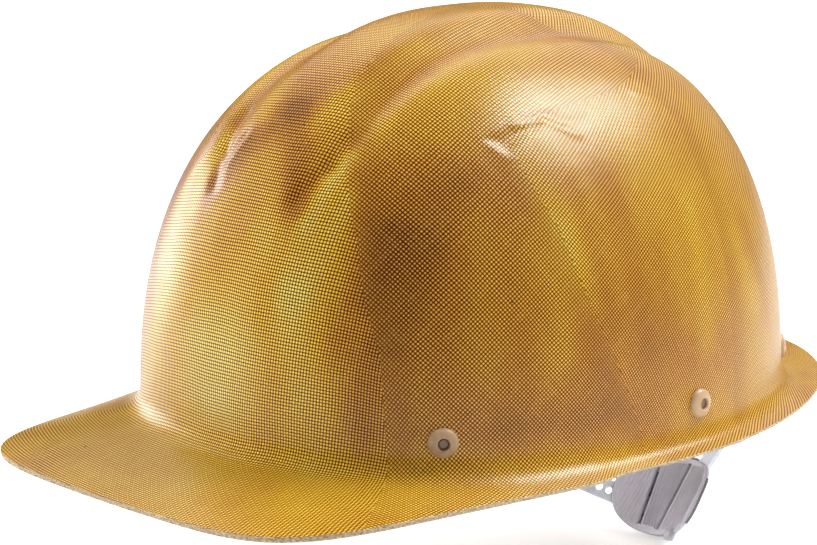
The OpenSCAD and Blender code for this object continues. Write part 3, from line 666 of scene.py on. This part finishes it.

# The same with how much lighter each streak is, on both sides: some are streaks in the resin, some are
# painted light and shade, as noted at their rows
RESIN_STREAKS_AND_PAINTED_LIGHT = (
    # Painted shade on the crest's side face at the near groove's end
    ((3, -82, 120), (21, -100, 93), 8, -0.30),
    ((14, -93, 108), (22, -101, 86), 6, -0.18),
    ((34, -86, 108), (30, -101, 84), 4, 0.38),
    ((42, -92, 95), (36, -107, 60), 4, 0.26),
    ((-10, -94, 104), (-20, -108, 80), 8, 0.14),
    ((-22, -108, 78), (-20, -113, 52), 7, -0.22),
    ((26, -110, 67), (14, -118, 40), 14, 0.28),
    ((33, -111, 62), (40, -111, 30), 7, 0.24),
    ((0, -119, 44), (6, -119, 26), 14, 0.12),
    ((55, -93, 84), (50, -104, 48), 6, -0.20),
    ((61, -88, 84), (59, -100, 62), 6, -0.26),
    ((70, -83, 80), (66, -95, 52), 9, -0.24),
    ((62, -101, 45), (62, -104, 20), 8, -0.26),
    ((51, -91, 90), (66, -68, 98), 10, -0.14),
    ((76, -66, 84), (84, -72, 40), 9, 0.10),
    ((84, -43, 90), (90, -62, 52), 8, 0.05),
    ((90, -38, 84), (97, -46, 44), 9, 0.20),
    ((84, -28, 98), (101, -24, 50), 6, -0.14),
    ((84, -12, 98), (102, -8, 40), 8, -0.16),
    ((96, 4, 74), (103, 4, 40), 6, -0.10),
    ((88, 26, 88), (100, 24, 36), 6, 0.16),
    ((88, 49, 70), (93, 58, 44), 6, 0.12),
    ((86, 60, 72), (90, 68, 40), 5, -0.10),
    ((92, -66, 20), (104, -10, 18), 8, -0.16),
    ((20, -55, 136), (10, -72, 127), 12, -0.14),
    ((66, 10, 121), (74, 40, 106), 8, -0.12),
    ((40, -2, 136), (44, -40, 130), 8, 0.10),
    # Painted shade along the floor of the near groove
    ((24, -101, 91), (31, -82, 113), 3.5, -0.12),
    ((31, -82, 113), (31, -50, 134), 4, -0.14),
    ((31, -50, 134), (30, 6, 143), 4, -0.16),
    ((30, 6, 143), (32, 45, 138), 4, -0.14),
    # Painted light on the near groove's shoulders
    ((21, -78, 121), (20, -40, 140), 4, 0.10),
    ((38, -72, 116), (42, -45, 130), 4, 0.10),
    ((60, -134, -1), (84, -112, 0), 12, 0.10),
    ((-10, -146, -2), (66, -142, -2), 22, 0.07),
    ((20, -126, 6), (58, -114, 6), 8, 0.14),
    ((92, -70, 6), (108, -10, 4), 6, 0.12),
    ((-16, -70, 127), (-13, -84, 116), 6, 0.18),
    # Painted highlight on the upper rear side
    ((75, 37, 108), (67, 23, 119), 7, 0.12),
    ((92, -45, 52), (101, -18, 46), 16, -0.10),
    # Painted shade that tones down the light on the right fillet
    ((88, -66, 8), (107, -6, 8), 9, -0.16),
    ((103, -24, 30), (103, 30, 32), 14, -0.15),
    # Painted highlight across the brow above the peak
    ((0, -121, 20), (46, -108, 20), 9, 0.15))


def soft_lines(p, lines, sides=(1, -1)):
    """Sum of a table of soft lines at each point, on both sides or on the one in the table."""
    total = np.zeros(p.shape[:-1])
    for first, last, reach, amount in lines:
        for side in sides:
            total += amount * np.exp(-(near_line(p * [side, 1, 1], first, last) / reach) ** 2)
    return total


def laid_fold(p):
    """Depth of one fold at the crown: it falls away from a straight edge and comes back."""
    first = np.array((63.5, -53, 113.5))
    along = np.array((0.039, 0.975, 0.218))
    down = np.array((0.797, 0.102, -0.597))
    length = 39.0
    depth = 0.8
    share = (p - first) @ along / length
    below = (p - first) @ down
    wide = ramp(share / 0.24 + 0.2) * np.clip(1.1 - 0.75 * share, 0, 1.1) * ramp((1.05 - share) / 0.25)
    fall = 5.5 * np.maximum(wide, 0.2)
    rise = 8 * np.maximum(wide, 0.2)
    return depth * wide * (ramp(below / fall) - ramp((below - fall) / rise))


def folds(p):
    """Height of the creases where the cloth was laid over the dome."""
    return soft_lines(p, PAIRED_CREASES) + soft_lines(p, CREASES, (1,)) - laid_fold(p)


def cut_edge(outer, normal, edge_t):
    """Rings of the rounded cut edge between the outer and the inner rim."""
    half = (edge_t / 2)[:, None]
    middle = outer[-1] - normal[-1] * half
    beyond = unit(outer[-1] - outer[-2])
    rings = []
    for t in np.linspace(0, math.pi, 9)[1:-1]:
        rings.append(middle + normal[-1] * half * math.cos(t) + beyond * 0.35 * math.sin(t))
    return rings


def mark_seams(mesh, points):
    """Distance from the three seams of each side, and the lighter and darker streaks laid over the dome:
    resin streaks, painted light and shade, and the darker side gore.
    """
    turn = np.degrees(np.arctan2(np.abs(points[:, 0]), -points[:, 1]))
    radius = np.hypot(points[:, 0], points[:, 1])
    z = points[:, 2]
    # Angle of each seam from the front, by height
    seams = {
        "front_seam": ((0, 23, 44, 62, 82, 95, 109, 130), (35.0, 34.0, 33.2, 30.1, 27.5, 24.3, 20.4, 14.0)),
        "rear_seam": ((0, 11, 37, 60, 83, 110, 117, 121, 124, 131),
                      (84.0, 83.0, 77.2, 71.4, 66.8, 58.0, 61.0, 78.0, 104.0, 130.0)),
        "back_seam": ((0, 49, 76, 101, 130), (111.0, 112.2, 113.7, 115.3, 118.0))}
    past = {}
    for name, (heights, angles) in seams.items():
        past[name] = np.radians(turn - np.interp(z, heights, angles)) * radius
        vertex_value(mesh, name, past[name])
    # The side gore between the front and rear seams is darkened, partly its own tone and partly painted shade
    gore = ramp(past["front_seam"] / 10 + 0.3) * ramp(0.3 - past["rear_seam"] / 10)
    gore *= ramp((z - 10) / 10) * ramp((118 - z) / 16)
    vertex_value(mesh, "resin_tone_and_painted_light", soft_lines(points, RESIN_STREAKS_AND_PAINTED_LIGHT) - SIDE_GORE_TONE_AND_SHADE * gore)


def lay_cloth(mesh, outer, rows):
    """UV maps of the gores' cloth; over the fillet and brim it runs on at the pitch of the wall's foot."""
    run = np.cumsum(np.linalg.norm(np.diff(outer[CLOTH_ROW:], axis=0), axis=-1), axis=0)
    reach = np.linalg.norm(outer[CLOTH_ROW] - outer[CLOTH_ROW - SLOPE_ROWS], axis=-1)
    mirrored = outer.copy()
    mirrored[..., 0] = np.abs(mirrored[..., 0])
    for name, source, centre, spin in (("cloth_front", outer, (0.05, -1.0, 0.35), 0.0),
                                       ("cloth_bias", mirrored, (0.8, -0.6, 0.35), math.radians(45)),
                                       ("cloth_rear", mirrored, (1.0, 0.35, 0.35), math.radians(-25))):
        laid = np.stack(cloth_place(source.reshape(-1, 3), centre, spin), -1).reshape(*outer.shape[:2], 2)
        slope = (laid[CLOTH_ROW] - laid[CLOTH_ROW - SLOPE_ROWS]) / reach[:, None]
        laid[CLOTH_ROW + 1:] = laid[CLOTH_ROW] + run[..., None] * slope
        whole = np.concatenate([laid[rows].reshape(-1, 2), np.repeat(laid[0].mean(0)[None], 2, 0)])
        vertex_uv(mesh, name, whole, mirrored=source is mirrored)


def shell_skin():
    u = np.arange(COLUMNS) * 2 * math.pi / COLUMNS
    outer = outer_rows(u)
    crown = dome_point(np.zeros(1), np.full(1, math.pi / 2))[0]
    padded = np.concatenate([np.repeat(crown[None, None], COLUMNS, 1), outer], 0)
    down = np.gradient(padded, axis=0)[1:]
    along = np.roll(outer, -1, 1) - np.roll(outer, 1, 1)
    normal = unit(np.cross(along, -down))
    outer = outer + normal * folds(outer)[..., None]
    # The wall thins over the brim to the cut edge
    edge_t = RIM_EDGE + (PEAK_EDGE - RIM_EDGE) * ramp((np.cos(u) - 0.2) / 0.5)
    share = np.clip((np.arange(len(outer)) - DOME_ROWS - FILLET_ROWS) / (RIM_ROWS - 1), 0, 1)[:, None]
    inner = outer - normal * (WALL + (edge_t - WALL) * share)[..., None]
    edge = cut_edge(outer, normal, edge_t)
    rings = np.concatenate([outer, edge, inner[-1:], inner[:-1][::-INNER_STEP]], 0)
    points = np.concatenate([rings.reshape(-1, 3), crown[None], crown[None] - [[0, 0, WALL]]], 0)
    faces = tube_faces(len(rings), COLUMNS, caps=False)
    top = len(rings) * COLUMNS
    last = top - COLUMNS
    for j in range(COLUMNS):
        k = (j + 1) % COLUMNS
        faces.append((top, j, k))
        faces.append((top + 1, last + k, last + j))
    piece = mesh_piece("shell_skin", points, faces, LAMINATE)
    edit_mesh(piece, face_outward)

    # Row of the outer surface that each ring is on or behind
    rim_row = len(outer) - 1
    rows = [*range(rim_row + 1), *[rim_row] * (len(edge) + 1), *range(rim_row - 1, -1, -INNER_STEP)]
    mark_seams(piece.data, points)
    on_edge = np.zeros(len(points))
    on_edge[len(outer) * COLUMNS:(len(outer) + len(edge)) * COLUMNS] = 1
    vertex_value(piece.data, "edge", on_edge)
    brim = np.zeros(len(points))
    brim[:top] = np.repeat(ramp((np.array(rows) - DOME_ROWS) / 8), COLUMNS)
    vertex_value(piece.data, "brim", brim)
    lay_cloth(piece.data, outer, rows)
    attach(piece, "helmet")
    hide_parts("shell")


# Turned and boxed pieces

def lathe_piece(name, profile, axis_point, direction, material, steps=32, degrees=40):
    """Solid of revolution: profile of (radius, distance along the axis), in millimetres."""
    d = unit(np.array(direction, float))
    helper = np.array([1.0, 0, 0]) if abs(d[0]) < 0.9 else np.array([0, 1.0, 0])
    e1 = unit(np.cross(d, helper))
    e2 = np.cross(d, e1)
    points = []
    for r, h in profile:
        for t in np.arange(steps) * 2 * math.pi / steps:
            points.append(np.array(axis_point) + d * h + (e1 * math.cos(t) + e2 * math.sin(t)) * max(r, 0.01))
    piece = mesh_piece(name, points, tube_faces(len(profile), steps), material)
    sharpen(piece, degrees)
    return piece


def rounded_box(name, centre, size, turn, material, radius):
    """Box with round edges, its centre and size given in millimetres."""

    def change(bm):
        bmesh.ops.create_cube(bm, size=1.0)
        bmesh.ops.scale(bm, vec=Vector(size) * MM, verts=bm.verts)
        bmesh.ops.bevel(bm, geom=bm.edges[:], offset=radius * MM, segments=3, affect="EDGES")
        bmesh.ops.transform(bm, matrix=Matrix.Translation(Vector(centre) * MM) @ turn, verts=bm.verts)
        for face in bm.faces:
            face.smooth = True

    piece = mesh_piece(name, [], [], material)
    edit_mesh(piece, change)
    return piece


def rivet_heads():
    # The head from the dip over its middle down to the stem; the dip is tinted darker as painted shade
    steps = 48
    profile = ((0.0, 1.0), (0.7, 0.98), (1.1, 0.92), (1.35, 0.85), (1.6, 0.95), (1.8, 1.3), (1.95, 1.9),
               (2.15, 2.3), (2.45, 2.4), (2.8, 2.2), (3.3, 2.0), (3.9, 1.8), (4.6, 1.55), (5.1, 0.85),
               (5.33, 0.25), (5.35, -0.12), (4.6, -0.3), (2.9, -0.4), (2.9, -7.0), (0.0, -7.0))
    hollow = np.repeat([ramp((2.25 - r) / 0.6) for r, h in profile], steps)
    made = []
    for angle in (RIVET_FRONT, -RIVET_FRONT, RIVET_SIDE, -RIVET_SIDE, RIVET_REAR, -RIVET_REAR):
        piece = lathe_piece("rivet", profile, wall_point(angle, RIVET_Z), wall_outward(angle), RIVET,
                            steps, 60)
        vertex_value(piece.data, "hollow", hollow)
        made.append(piece)
    piece = join("rivet_heads", made)
    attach(piece, "helmet")
    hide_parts("shell_rivets")


# Straps and bands

def rounded_section(half_w, half_t, bead=0.0):
    """Flat section with round edges, thicker near the edges by a bead."""
    points = []
    for side in (1, -1):
        for t in np.linspace(-math.pi / 2, math.pi / 2, 7):
            across = half_w - half_t + half_t * math.cos(t)
            points.append((side * across, side * (half_t + bead) * math.sin(t)))
        points.append((side * (half_w - 3 * half_t), side * (half_t + bead)))
        points.append((side * (half_w - 4.5 * half_t), side * half_t))
    return points


def strip(name, centres, normals, across, section, material):
    """Sweeps a flat section along centres; normals give the flat side, across the other direction."""
    points = []
    for c, n in zip(centres, unit(np.array(normals))):
        points += [c + across * a + n * b for a, b in section]
    piece = mesh_piece(name, points, tube_faces(len(centres), len(section)), material)
    length = np.concatenate([[0], np.cumsum(np.linalg.norm(np.diff(centres, axis=0), axis=1))])
    vertex_uv(piece.data, "UVMap", [(a, along) for along in length for a, b in section])
    sharpen(piece, 50)
    return piece


def bar_point(angle):
    return wall_point(angle, RIVET_Z) - wall_outward(angle) * BAR_IN + [0, 0, BAR_UP]


def bow_point(bow, q):
    """Point of a web's bowed underside at -1 to 1 of its run, along and up from its bars' middle."""
    run, low, tall = bow
    return np.array([q * run, low + tall * (1 - abs(q) ** BOW)])


def bow_normal(bow, q):
    d = unit(bow_point(bow, q + 0.01) - bow_point(bow, q - 0.01))
    return np.array([-d[1], d[0]])


def tail_stitches(name, bow, tail_q, place, side):
    """Stitches across both sewn tails of a web, each in a box with a cross."""
    corners = np.array(((-0.36, 0.30), (0.36, 0.30), (0.36, 0.92), (-0.36, 0.92), (-0.36, 0.30), (0.36, 0.92),
                        (0.36, 0.30), (-0.36, 0.92)))
    first_q = tail_q - 0.01
    last_q = tail_q - (tail_q + WEB_END) * 0.6

    def spot(corner, end):
        s, t = corner
        q = first_q + (last_q - first_q) * t
        d = bow_normal(bow, q)
        p = bow_point(bow, q) + d * (WEB_T * 1.5 + 0.10 + 0.43 * t * t)
        return place(p * [end, 1]) + side * s * WEB_W, place(d * [end, 1]) - place([0, 0])

    stitches = []
    for end in (1, -1):
        for a, b in zip(corners[:-1], corners[1:]):
            steps = max(3, int(np.linalg.norm(spot(a, end)[0] - spot(b, end)[0]) / 2.4))
            for i in range(steps):
                p0, d0 = spot(a + (b - a) * (i + 0.15) / steps, end)
                p1, d1 = spot(a + (b - a) * (i + 0.85) / steps, end)
                stitches.append((p0, p1, d0))
    return thread_stitches(name, stitches)


def crown_web(name, angle, partner, layer):
    """A bowed span between two bars, each end looped round its bar and sewn back."""
    a = bar_point(angle)
    b = bar_point(partner)
    half = np.linalg.norm(b - a) / 2
    lift = CROWN_Z + LAYER_RISE * layer - a[2]
    slope = math.atan(lift * BOW / half)
    along = np.array([math.cos(slope), math.sin(slope)])
    across = np.array([-math.sin(slope), math.cos(slope)])
    loop_r = BAR_R + 0.3 + WEB_T / 2
    bar = np.array([-half, 0.0])
    start = bar - across * loop_r
    bow = (-start[0], start[1], lift - start[1])
    tail_q = -1 + TAIL_LEN * math.cos(slope) / bow[0]
    near = []
    for k in np.linspace(0, 1, 14):
        q = tail_q - (tail_q + WEB_END) * k
        d = bow_normal(bow, q)
        near.append((bow_point(bow, q) + d * (WEB_T + 0.12 + 1.2 * k * k), d))
    for t in np.radians(np.arange(0, 181, 12.0)):
        d = across * math.cos(t) - along * math.sin(t)
        near.append((bar + d * loop_r, d))
    main = [(bow_point(bow, q), -bow_normal(bow, q)) for q in np.linspace(-0.96, 0.96, 90)]
    far = [(p * [-1, 1], d * [-1, 1]) for p, d in near[::-1]]

    ahead = unit(b - a)
    plane = np.array([ahead, [0, 0, 1.0]])
    side = np.array([-ahead[1], ahead[0], 0])

    def place(p):
        return (a + b) / 2 + p @ plane

    path = near + main + far
    piece = strip(name, [place(p) for p, d in path], [d @ plane for p, d in path], side,
                  rounded_section(WEB_W / 2, WEB_T / 2 - 0.05), WEBBING)
    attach(piece, "helmet")
    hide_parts(name[:-5])
    sewn = tail_stitches(name[:-5] + "_stitches", bow, tail_q, place, side)
    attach(sewn, "helmet")


def thread_stitches(name, stitches, radius=0.22):
    """Short raised threads, each from one point to another, bowed along a normal."""
    points = []
    faces = []
    for p0, p1, d in stitches:
        d = unit(np.asarray(d, float))
        side = unit(np.cross(p1 - p0, d))
        first = len(points)
        for k in range(5):
            t = k / 4
            c = p0 + (p1 - p0) * t + d * (0.16 * math.sin(math.pi * t) - 0.06)
            r = radius * (0.45 + 0.55 * math.sin(math.pi * (0.1 + 0.8 * t)))
            for j in range(6):
                a = math.pi * j / 3
                points.append(c + (side * math.cos(a) + d * math.sin(a)) * r)
        faces += [tuple(first + v for v in f) for f in tube_faces(5, 6)]
    piece = mesh_piece(name, points, faces, THREAD)
    vertex_uv(piece.data, "UVMap", [(0.0, i * 0.1) for i in range(len(points))])
    return piece


def nape(p):
    """From the nape adjuster's own axes to the frame's."""
    t = math.radians(NAPE_TILT)
    x, y, z = p
    ahead = NAPE_Y + y * math.cos(t) + z * math.sin(t)
    return np.array([x, ahead, -NAPE_DROP - y * math.sin(t) + z * math.cos(t)])


def nape_turn():
    return Matrix.Rotation(math.radians(-NAPE_TILT), 4, "X")


BAND_END = nape((HINGE_X + 1, -6.0, HINGE_Z))


def band_arc(a):
    return np.array([BAND_HALF_W * signed(math.sin(a), 2 / BAND_SQUARE),
                     BAND_MID_Y - BAND_FRONT * signed(math.cos(a), 2 / BAND_SQUARE), BAND_Z])


def band_drop(t):
    """Middle line of the headband's side, which draws in and falls to the rear hinge."""
    past = max(t, 0)
    return np.array([BAND_HALF_W - (BAND_HALF_W - BAND_END[0]) * past ** 2,
                     BAND_MID_Y + t * (BAND_END[1] - BAND_MID_Y),
                     BAND_Z + (BAND_END[2] - BAND_Z) * past ** 1.7])


def flat_normal(p, q):
    return unit(np.array([q[1] - p[1], p[0] - q[0], 0.0]))


def band_normal(a):
    return flat_normal(band_arc(a - 0.01), band_arc(a + 0.01))


def band_drop_row(t, side):
    """Centre, normal, direction across and height of the headband's falling rear part."""
    mirror = [side, 1, 1]
    lean = math.radians(NAPE_TILT * t)
    return (band_drop(t) * mirror, flat_normal(band_drop(t - 0.01), band_drop(t + 0.01)) * mirror,
            np.array([0, math.sin(lean), math.cos(lean)]), BAND_H + (BAND_END_H - BAND_H) * float(ramp(t)))


def headband_strip():
    rows = [band_drop_row(t, 1) for t in np.linspace(1, 0.02, 50)]
    for a in np.radians(np.linspace(89, -89, 180)):
        rows.append((band_arc(a), band_normal(a), np.array([0, 0, 1.0]), BAND_H))
    rows += [band_drop_row(t, -1) for t in np.linspace(0.02, 1, 50)]
    rings = []
    for c, n, w, h in rows:
        rings.append([c + w * a + n * b for a, b in rounded_section(h / 2, BAND_T / 2 - 0.15, 0.15)])
    faces = tube_faces(len(rings), len(rings[0]))
    piece = mesh_piece("headband_strip", np.concatenate(rings, 0), faces, BAND)
    sharpen(piece, 50)
    piece = join("headband_strip", [piece, hinge_yoke(1), hinge_yoke(-1)])
    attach(piece, "helmet")
    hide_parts("headband")


def hinge_yoke(side):
    """Two ears, the wall between them and the bar that a nape strap's eye turns on."""
    up = nape((0, 0, 1)) - nape((0, 0, 0))
    turn = nape_turn()
    reach = 4.9
    ear_w = 6.4
    ear = ((0, -1), (2.9, -1), (3.2, -0.7), (3.2, 0.7), (2.9, 1), (0, 1))
    bar = ((0, -6.9), (1.5, -6.9), (1.5, 6.9), (0, 6.9))

    def place(y, z):
        return nape((side * HINGE_X, y, HINGE_Z + z))

    parts = []
    for z in (reach + 1.0, -reach - 1.0):
        parts.append(lathe_piece("ear", ear, place(0, z), up, BAND))
        parts.append(rounded_box("ear_arm", place(-3.8, z), (ear_w, 7.6, 2.0), turn, BAND, 0.3))
    wall = (ear_w, 2.4, 2 * reach + 4)
    parts.append(rounded_box("ear_wall", place(-6.4, 0), wall, turn, BAND, 0.4))
    parts.append(lathe_piece("ear_bar", bar, place(0, 0), up, BAND))
    return join("yoke", parts)


def sweatband_pad():
    """Padded leather strip inside the front of the headband, its edges rolled and sewn."""
    half_t = SWEAT_T / 2
    half_h = SWEAT_H / 2
    seam_in = 4.2
    shift = -(BAND_T / 2 + half_t + 0.3)
    section = []
    for t in np.linspace(0, 2 * math.pi, 41)[:-1]:
        a = half_h * signed(math.cos(t), 0.28)
        swell = 1 - 0.55 * abs(a / half_h) ** 4
        groove = 0.45 * math.exp(-(((abs(a) - half_h + seam_in) / 0.7) ** 2))
        section.append((a, (half_t * swell - groove) * signed(math.sin(t), 0.35)))
    centres = []
    normals = []
    for a in np.radians(np.linspace(74, -74, 190)):
        centres.append(band_arc(a) + band_normal(a) * shift)
        normals.append(band_normal(a))
    piece = strip("sweatband_pad", centres, normals, np.array([0, 0, 1.0]), section, LEATHER)
    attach(piece, "helmet")
    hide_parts("sweatband")
    stitches = []
    for edge in (1, -1):
        turns = np.radians(np.linspace(73, -73, 150))
        for a0, a1 in zip(turns[:-1], turns[1:]):
            mid = a0 + (a1 - a0) * 0.72
            ends = []
            for a in (a0, mid):
                seam = [0, 0, edge * (half_h - seam_in)]
                ends.append(band_arc(a) + band_normal(a) * (shift - half_t * 0.72) + seam)
            stitches.append((*ends, -band_normal(mid)))
    sewn = thread_stitches("sweatband_stitches", stitches, 0.26)
    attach(sewn, "helmet")


# Nape adjuster

def plate_reach(row):
    """Half width of the plate's barrel outline at a height."""
    t = min(abs(row - PLATE_MID_Z) / (PLATE_H / 2), 0.9995)
    n = 4.0 if row > PLATE_MID_Z else 2.6
    return PLATE_HALF_W * (1 - t ** n) ** (1 / n)


def plate_rib(size, x, row, lean):
    """Height of the fine ribs, and depth of the groove along the outline."""
    if abs(size - 0.925) < 0.02:
        return -0.2
    if 0.02 < lean < 0.98 and size < SLOT_IN - 0.01:
        return 0.42 * math.sin(2 * math.pi * (x + 0.12 * row) / 1.45)
    if 0.02 < lean < 0.98 and SLOT_OUT + 0.02 < size < 0.9:
        return 0.26 * math.sin(2 * math.pi * (x - 0.10 * row) / 1.7)
    return 0.0


def plate_points(columns, rows):
    """Points of the plate's inner and outer sides, which meet in rounded edges."""
    inner = []
    outer = []
    middle_r = NAPE_R + PLATE_T / 2
    for share in columns:
        for row in rows:
            lean = (row - SLOT_LOW_Z) / (SLOT_TOP_Z - SLOT_LOW_Z)
            reach = plate_reach(row)
            slot = min(SLOT_LOW_X + (SLOT_TOP_X - SLOT_LOW_X) * min(max(lean, 0), 1), reach * 0.42)
            # Lines of equal share follow the slots near the middle and the outline at the sides
            size = abs(share)
            x = np.interp(size, (0, SLOT_IN, SLOT_OUT, 1), (0, slot - SLOT_W / 2, slot + SLOT_W / 2, reach))
            x = math.copysign(max(x, 0.0), share)
            near_edge = min(reach - abs(x), PLATE_H / 2 - abs(row - PLATE_MID_Z))
            round_off = PLATE_RIM * (1 - min(1, near_edge / PLATE_RIM)) ** 2
            rib = plate_rib(size, x, row, lean)
            turn = math.asin(min(0.99, abs(x) / middle_r)) * 0.995
            for store, r in ((inner, NAPE_R + round_off - rib), (outer, NAPE_R + PLATE_T - round_off)):
                store.append(nape((x * r / middle_r, math.cos(turn) * r, row)))
    return inner + outer


def plate_faces(columns, rows):
    """Faces of the plate's two sides and of its edges, with the slots left open."""
    nx = len(columns) - 1
    nz = len(rows) - 1
    base = len(columns) * len(rows)

    def filled(i, j):
        if not (0 <= i < nx and 0 <= j < nz):
            return False
        size = abs(columns[i] + columns[i + 1]) / 2
        up = (rows[j] + rows[j + 1]) / 2
        return not (SLOT_IN < size < SLOT_OUT and SLOT_LOW_Z < up < SLOT_TOP_Z)

    faces = []
    for i in range(nx):
        for j in range(nz):
            if not filled(i, j):
                continue
            a = i * len(rows) + j
            b = a + len(rows)
            c = b + 1
            d = a + 1
            faces.append((a, b, c, d))
            faces.append((base + d, base + c, base + b, base + a))
            for k, m, p, q in ((i - 1, j, d, a), (i + 1, j, b, c), (i, j - 1, a, b), (i, j + 1, c, d)):
                if not filled(k, m):
                    faces.append((q, p, base + p, base + q))
    return faces


def nape_plate_piece():
    """Barrel-shaped curved plate with two leaning slots and fine ribs."""
    half = np.concatenate([np.linspace(0, SLOT_IN, 31), np.linspace(SLOT_IN, SLOT_OUT, 7),
                           np.linspace(SLOT_OUT, 0.95, 42), np.linspace(0.95, 1, 8)])
    columns = np.unique(np.round(np.concatenate([-half, half]), 6))
    low = PLATE_MID_Z - PLATE_H / 2
    rows = np.unique(np.concatenate([np.linspace(low, SLOT_LOW_Z, 9), np.linspace(SLOT_LOW_Z, SLOT_TOP_Z, 64),
                                     np.linspace(SLOT_TOP_Z, low + PLATE_H, 9)]))
    points = plate_points(columns, rows)
    piece = mesh_piece("nape_plate_moulded", points, plate_faces(columns, rows), PLATE)
    edit_mesh(piece, lambda bm: bmesh.ops.remove_doubles(bm, verts=bm.verts, dist=0.00002))
    sharpen(piece, 40)
    turn = nape_turn() @ Matrix.Rotation(math.radians(-15), 4, "Z")
    tab = rounded_box("plate_tab", nape((13.2, 49.3, low + 1.9)), (5.2, 2.0, 5.0), turn, PLATE, 0.4)
    piece = join("nape_plate_moulded", [piece, tab])
    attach(piece, "adjuster")
    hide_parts("nape_plate")


def plate_edge(name, side):
    """Dark edge behind the plate's rim, on one side."""
    points = []
    for row in np.linspace(-13.5, 6.5, 25):
        reach = plate_reach(row)
        for x, rise in ((reach - 0.8, 0.9), (reach + 0.35, 0.9), (reach + 0.35, 1.9), (reach - 0.8, 1.9)):
            turn = math.asin(x / (NAPE_R + PLATE_T / 2))
            r = NAPE_R + rise
            points.append(nape((side * math.sin(turn) * r, math.cos(turn) * r, row)))
    edge = mesh_piece(name, points, tube_faces(25, 4), COVER, smooth=False)
    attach(edge, "adjuster")


def dress_frame_nodes():
    """Gives the carried-over solids their materials."""
    looks = {"rivet_pins": PIN, "rivet_washers": RIVET, "headband_studs": STUD, "sweatband_studs": STUD,
             "nape_strap_left": STRAP, "nape_strap_right": STRAP, "adjuster_cover": COVER,
             "ratchet_ring": COVER, "pinion": KNOB, "detent_spring": STEEL, "adjuster_knob": KNOB,
             "knob_screw": STEEL}
    for name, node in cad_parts.items():
        look = ANCHOR if name.startswith("anchor") else looks.get(name)
        if look is None:
            continue
        if not node.material_slots:
            node.data.materials.append(look)
        for material_slot in node.material_slots:
            material_slot.material = look


# Camera, lights and floor

def make_camera():
    back = Vector((0.72503, -0.65848, 0.20183)).normalized()
    azimuth = math.radians(47.75)
    roll = math.radians(-0.2)
    level = Vector((math.cos(azimuth), math.sin(azimuth), 0))
    upright = back.cross(level)
    right = level * math.cos(roll) + upright * math.sin(roll)
    up = back.cross(right)
    data = bpy.data.cameras.new("camera")
    data.lens = 130.29
    data.sensor_width = 36.0
    data.clip_start = 0.01
    data.clip_end = 50.0
    camera = linked("camera", data)
    turn = Matrix((right, up, back)).transposed().to_4x4()
    camera.matrix_world = Matrix.Translation((0.786827, -0.742070, 0.272586)) @ turn
    bpy.context.scene.camera = camera


def softbox(name, place, width, height, power, mirrored=True, spread=180, target=(0, 0, 0.06)):
    data = bpy.data.lights.new(name, "AREA")
    data.shape = "RECTANGLE"
    data.size = width
    data.size_y = height
    data.energy = power
    data.spread = math.radians(spread)
    light = linked(name, data)
    light.location = place
    light.rotation_euler = (Vector(target) - Vector(place)).to_track_quat("-Z", "Y").to_euler()
    light.visible_glossy = mirrored
    light.visible_camera = False


def make_lights():
    softbox("main_box", (0.46, 0.84, 1.29), 0.80, 0.75, 32)
    softbox("left_box", (-1.48, -0.22, 0.16), 0.72, 1.0, 12.8)
    softbox("rear_box", (-0.45, 1.45, 0.55), 1.0, 0.9, 1.2)
    softbox("crown_box", (-1.25, 0.95, 1.50), 2.4, 1.3, 13.5)
    softbox("side_fill", (-1.10, -1.15, 0.60), 0.8, 0.8, 19, mirrored=False)
    softbox("top_fill", (-0.40, -0.45, 1.60), 1.0, 1.0, 7, mirrored=False)
    softbox("low_box", (0.42, -0.10, -0.05), 0.25, 0.12, 0.075, mirrored=False, spread=45,
            target=(0.02, 0.11, -0.05))


def make_world():
    """White to the camera, 0.30 for diffuse light and 0.05 in reflections."""
    world = bpy.data.worlds.new("studio")
    bpy.context.scene.world = world
    n = Nodes(world)
    rays = n.add("ShaderNodeLightPath").outputs
    background = n.tree.nodes["Background"].inputs
    background["Color"].default_value = (1, 1, 1, 1)
    unseen = n.lerp(rays["Is Glossy Ray"], 0.30, 0.05)
    n.put(background["Strength"], n.lerp(rays["Is Camera Ray"], unseen, 1.0))


def make_floor():
    n = material_nodes("pale_floor")
    place = n.object_place()
    shade = n.ramp(n.noise(place, 3.0, 2.0), ((0.3, (0.90, 0.90, 0.90)), (0.7, (0.93, 0.93, 0.93))))
    # The floor is lit up to white for the camera and keeps part of its shadow
    rays = n.add("ShaderNodeLightPath").outputs
    far = n.span(n.vector("LENGTH", place), 0.3, 1.1, 0.42, 1.0)
    material = n.finish(shade, 0.7, Emission_Color=(1, 1, 1, 1),
                        Emission_Strength=n.times(rays["Is Camera Ray"], far))
    low = min(corner[2] for corner in CAD_BOX)
    mesh = bpy.data.meshes.new("floor")
    corners = [(6.0 * x, 6.0 * y, low) for x, y in ((-1, -1), (1, -1), (1, 1), (-1, 1))]
    mesh.from_pydata(corners, [], [(0, 1, 2, 3)])
    mesh.materials.append(material)
    floor = linked("floor", mesh)


bpy.context.scene.view_settings.view_transform = "Standard"
make_camera()
make_lights()
make_world()
make_floor()
shell_skin()
rivet_heads()
crown_web("crown_web_side_tape", RIVET_SIDE, -RIVET_SIDE, 0)
crown_web("crown_web_left_front_tape", RIVET_FRONT, -RIVET_REAR, 1)
crown_web("crown_web_right_front_tape", -RIVET_FRONT, RIVET_REAR, 2)
headband_strip()
sweatband_pad()
nape_plate_piece()
plate_edge("plate_edge_right", 1)
plate_edge("plate_edge_left", -1)
dress_frame_nodes()
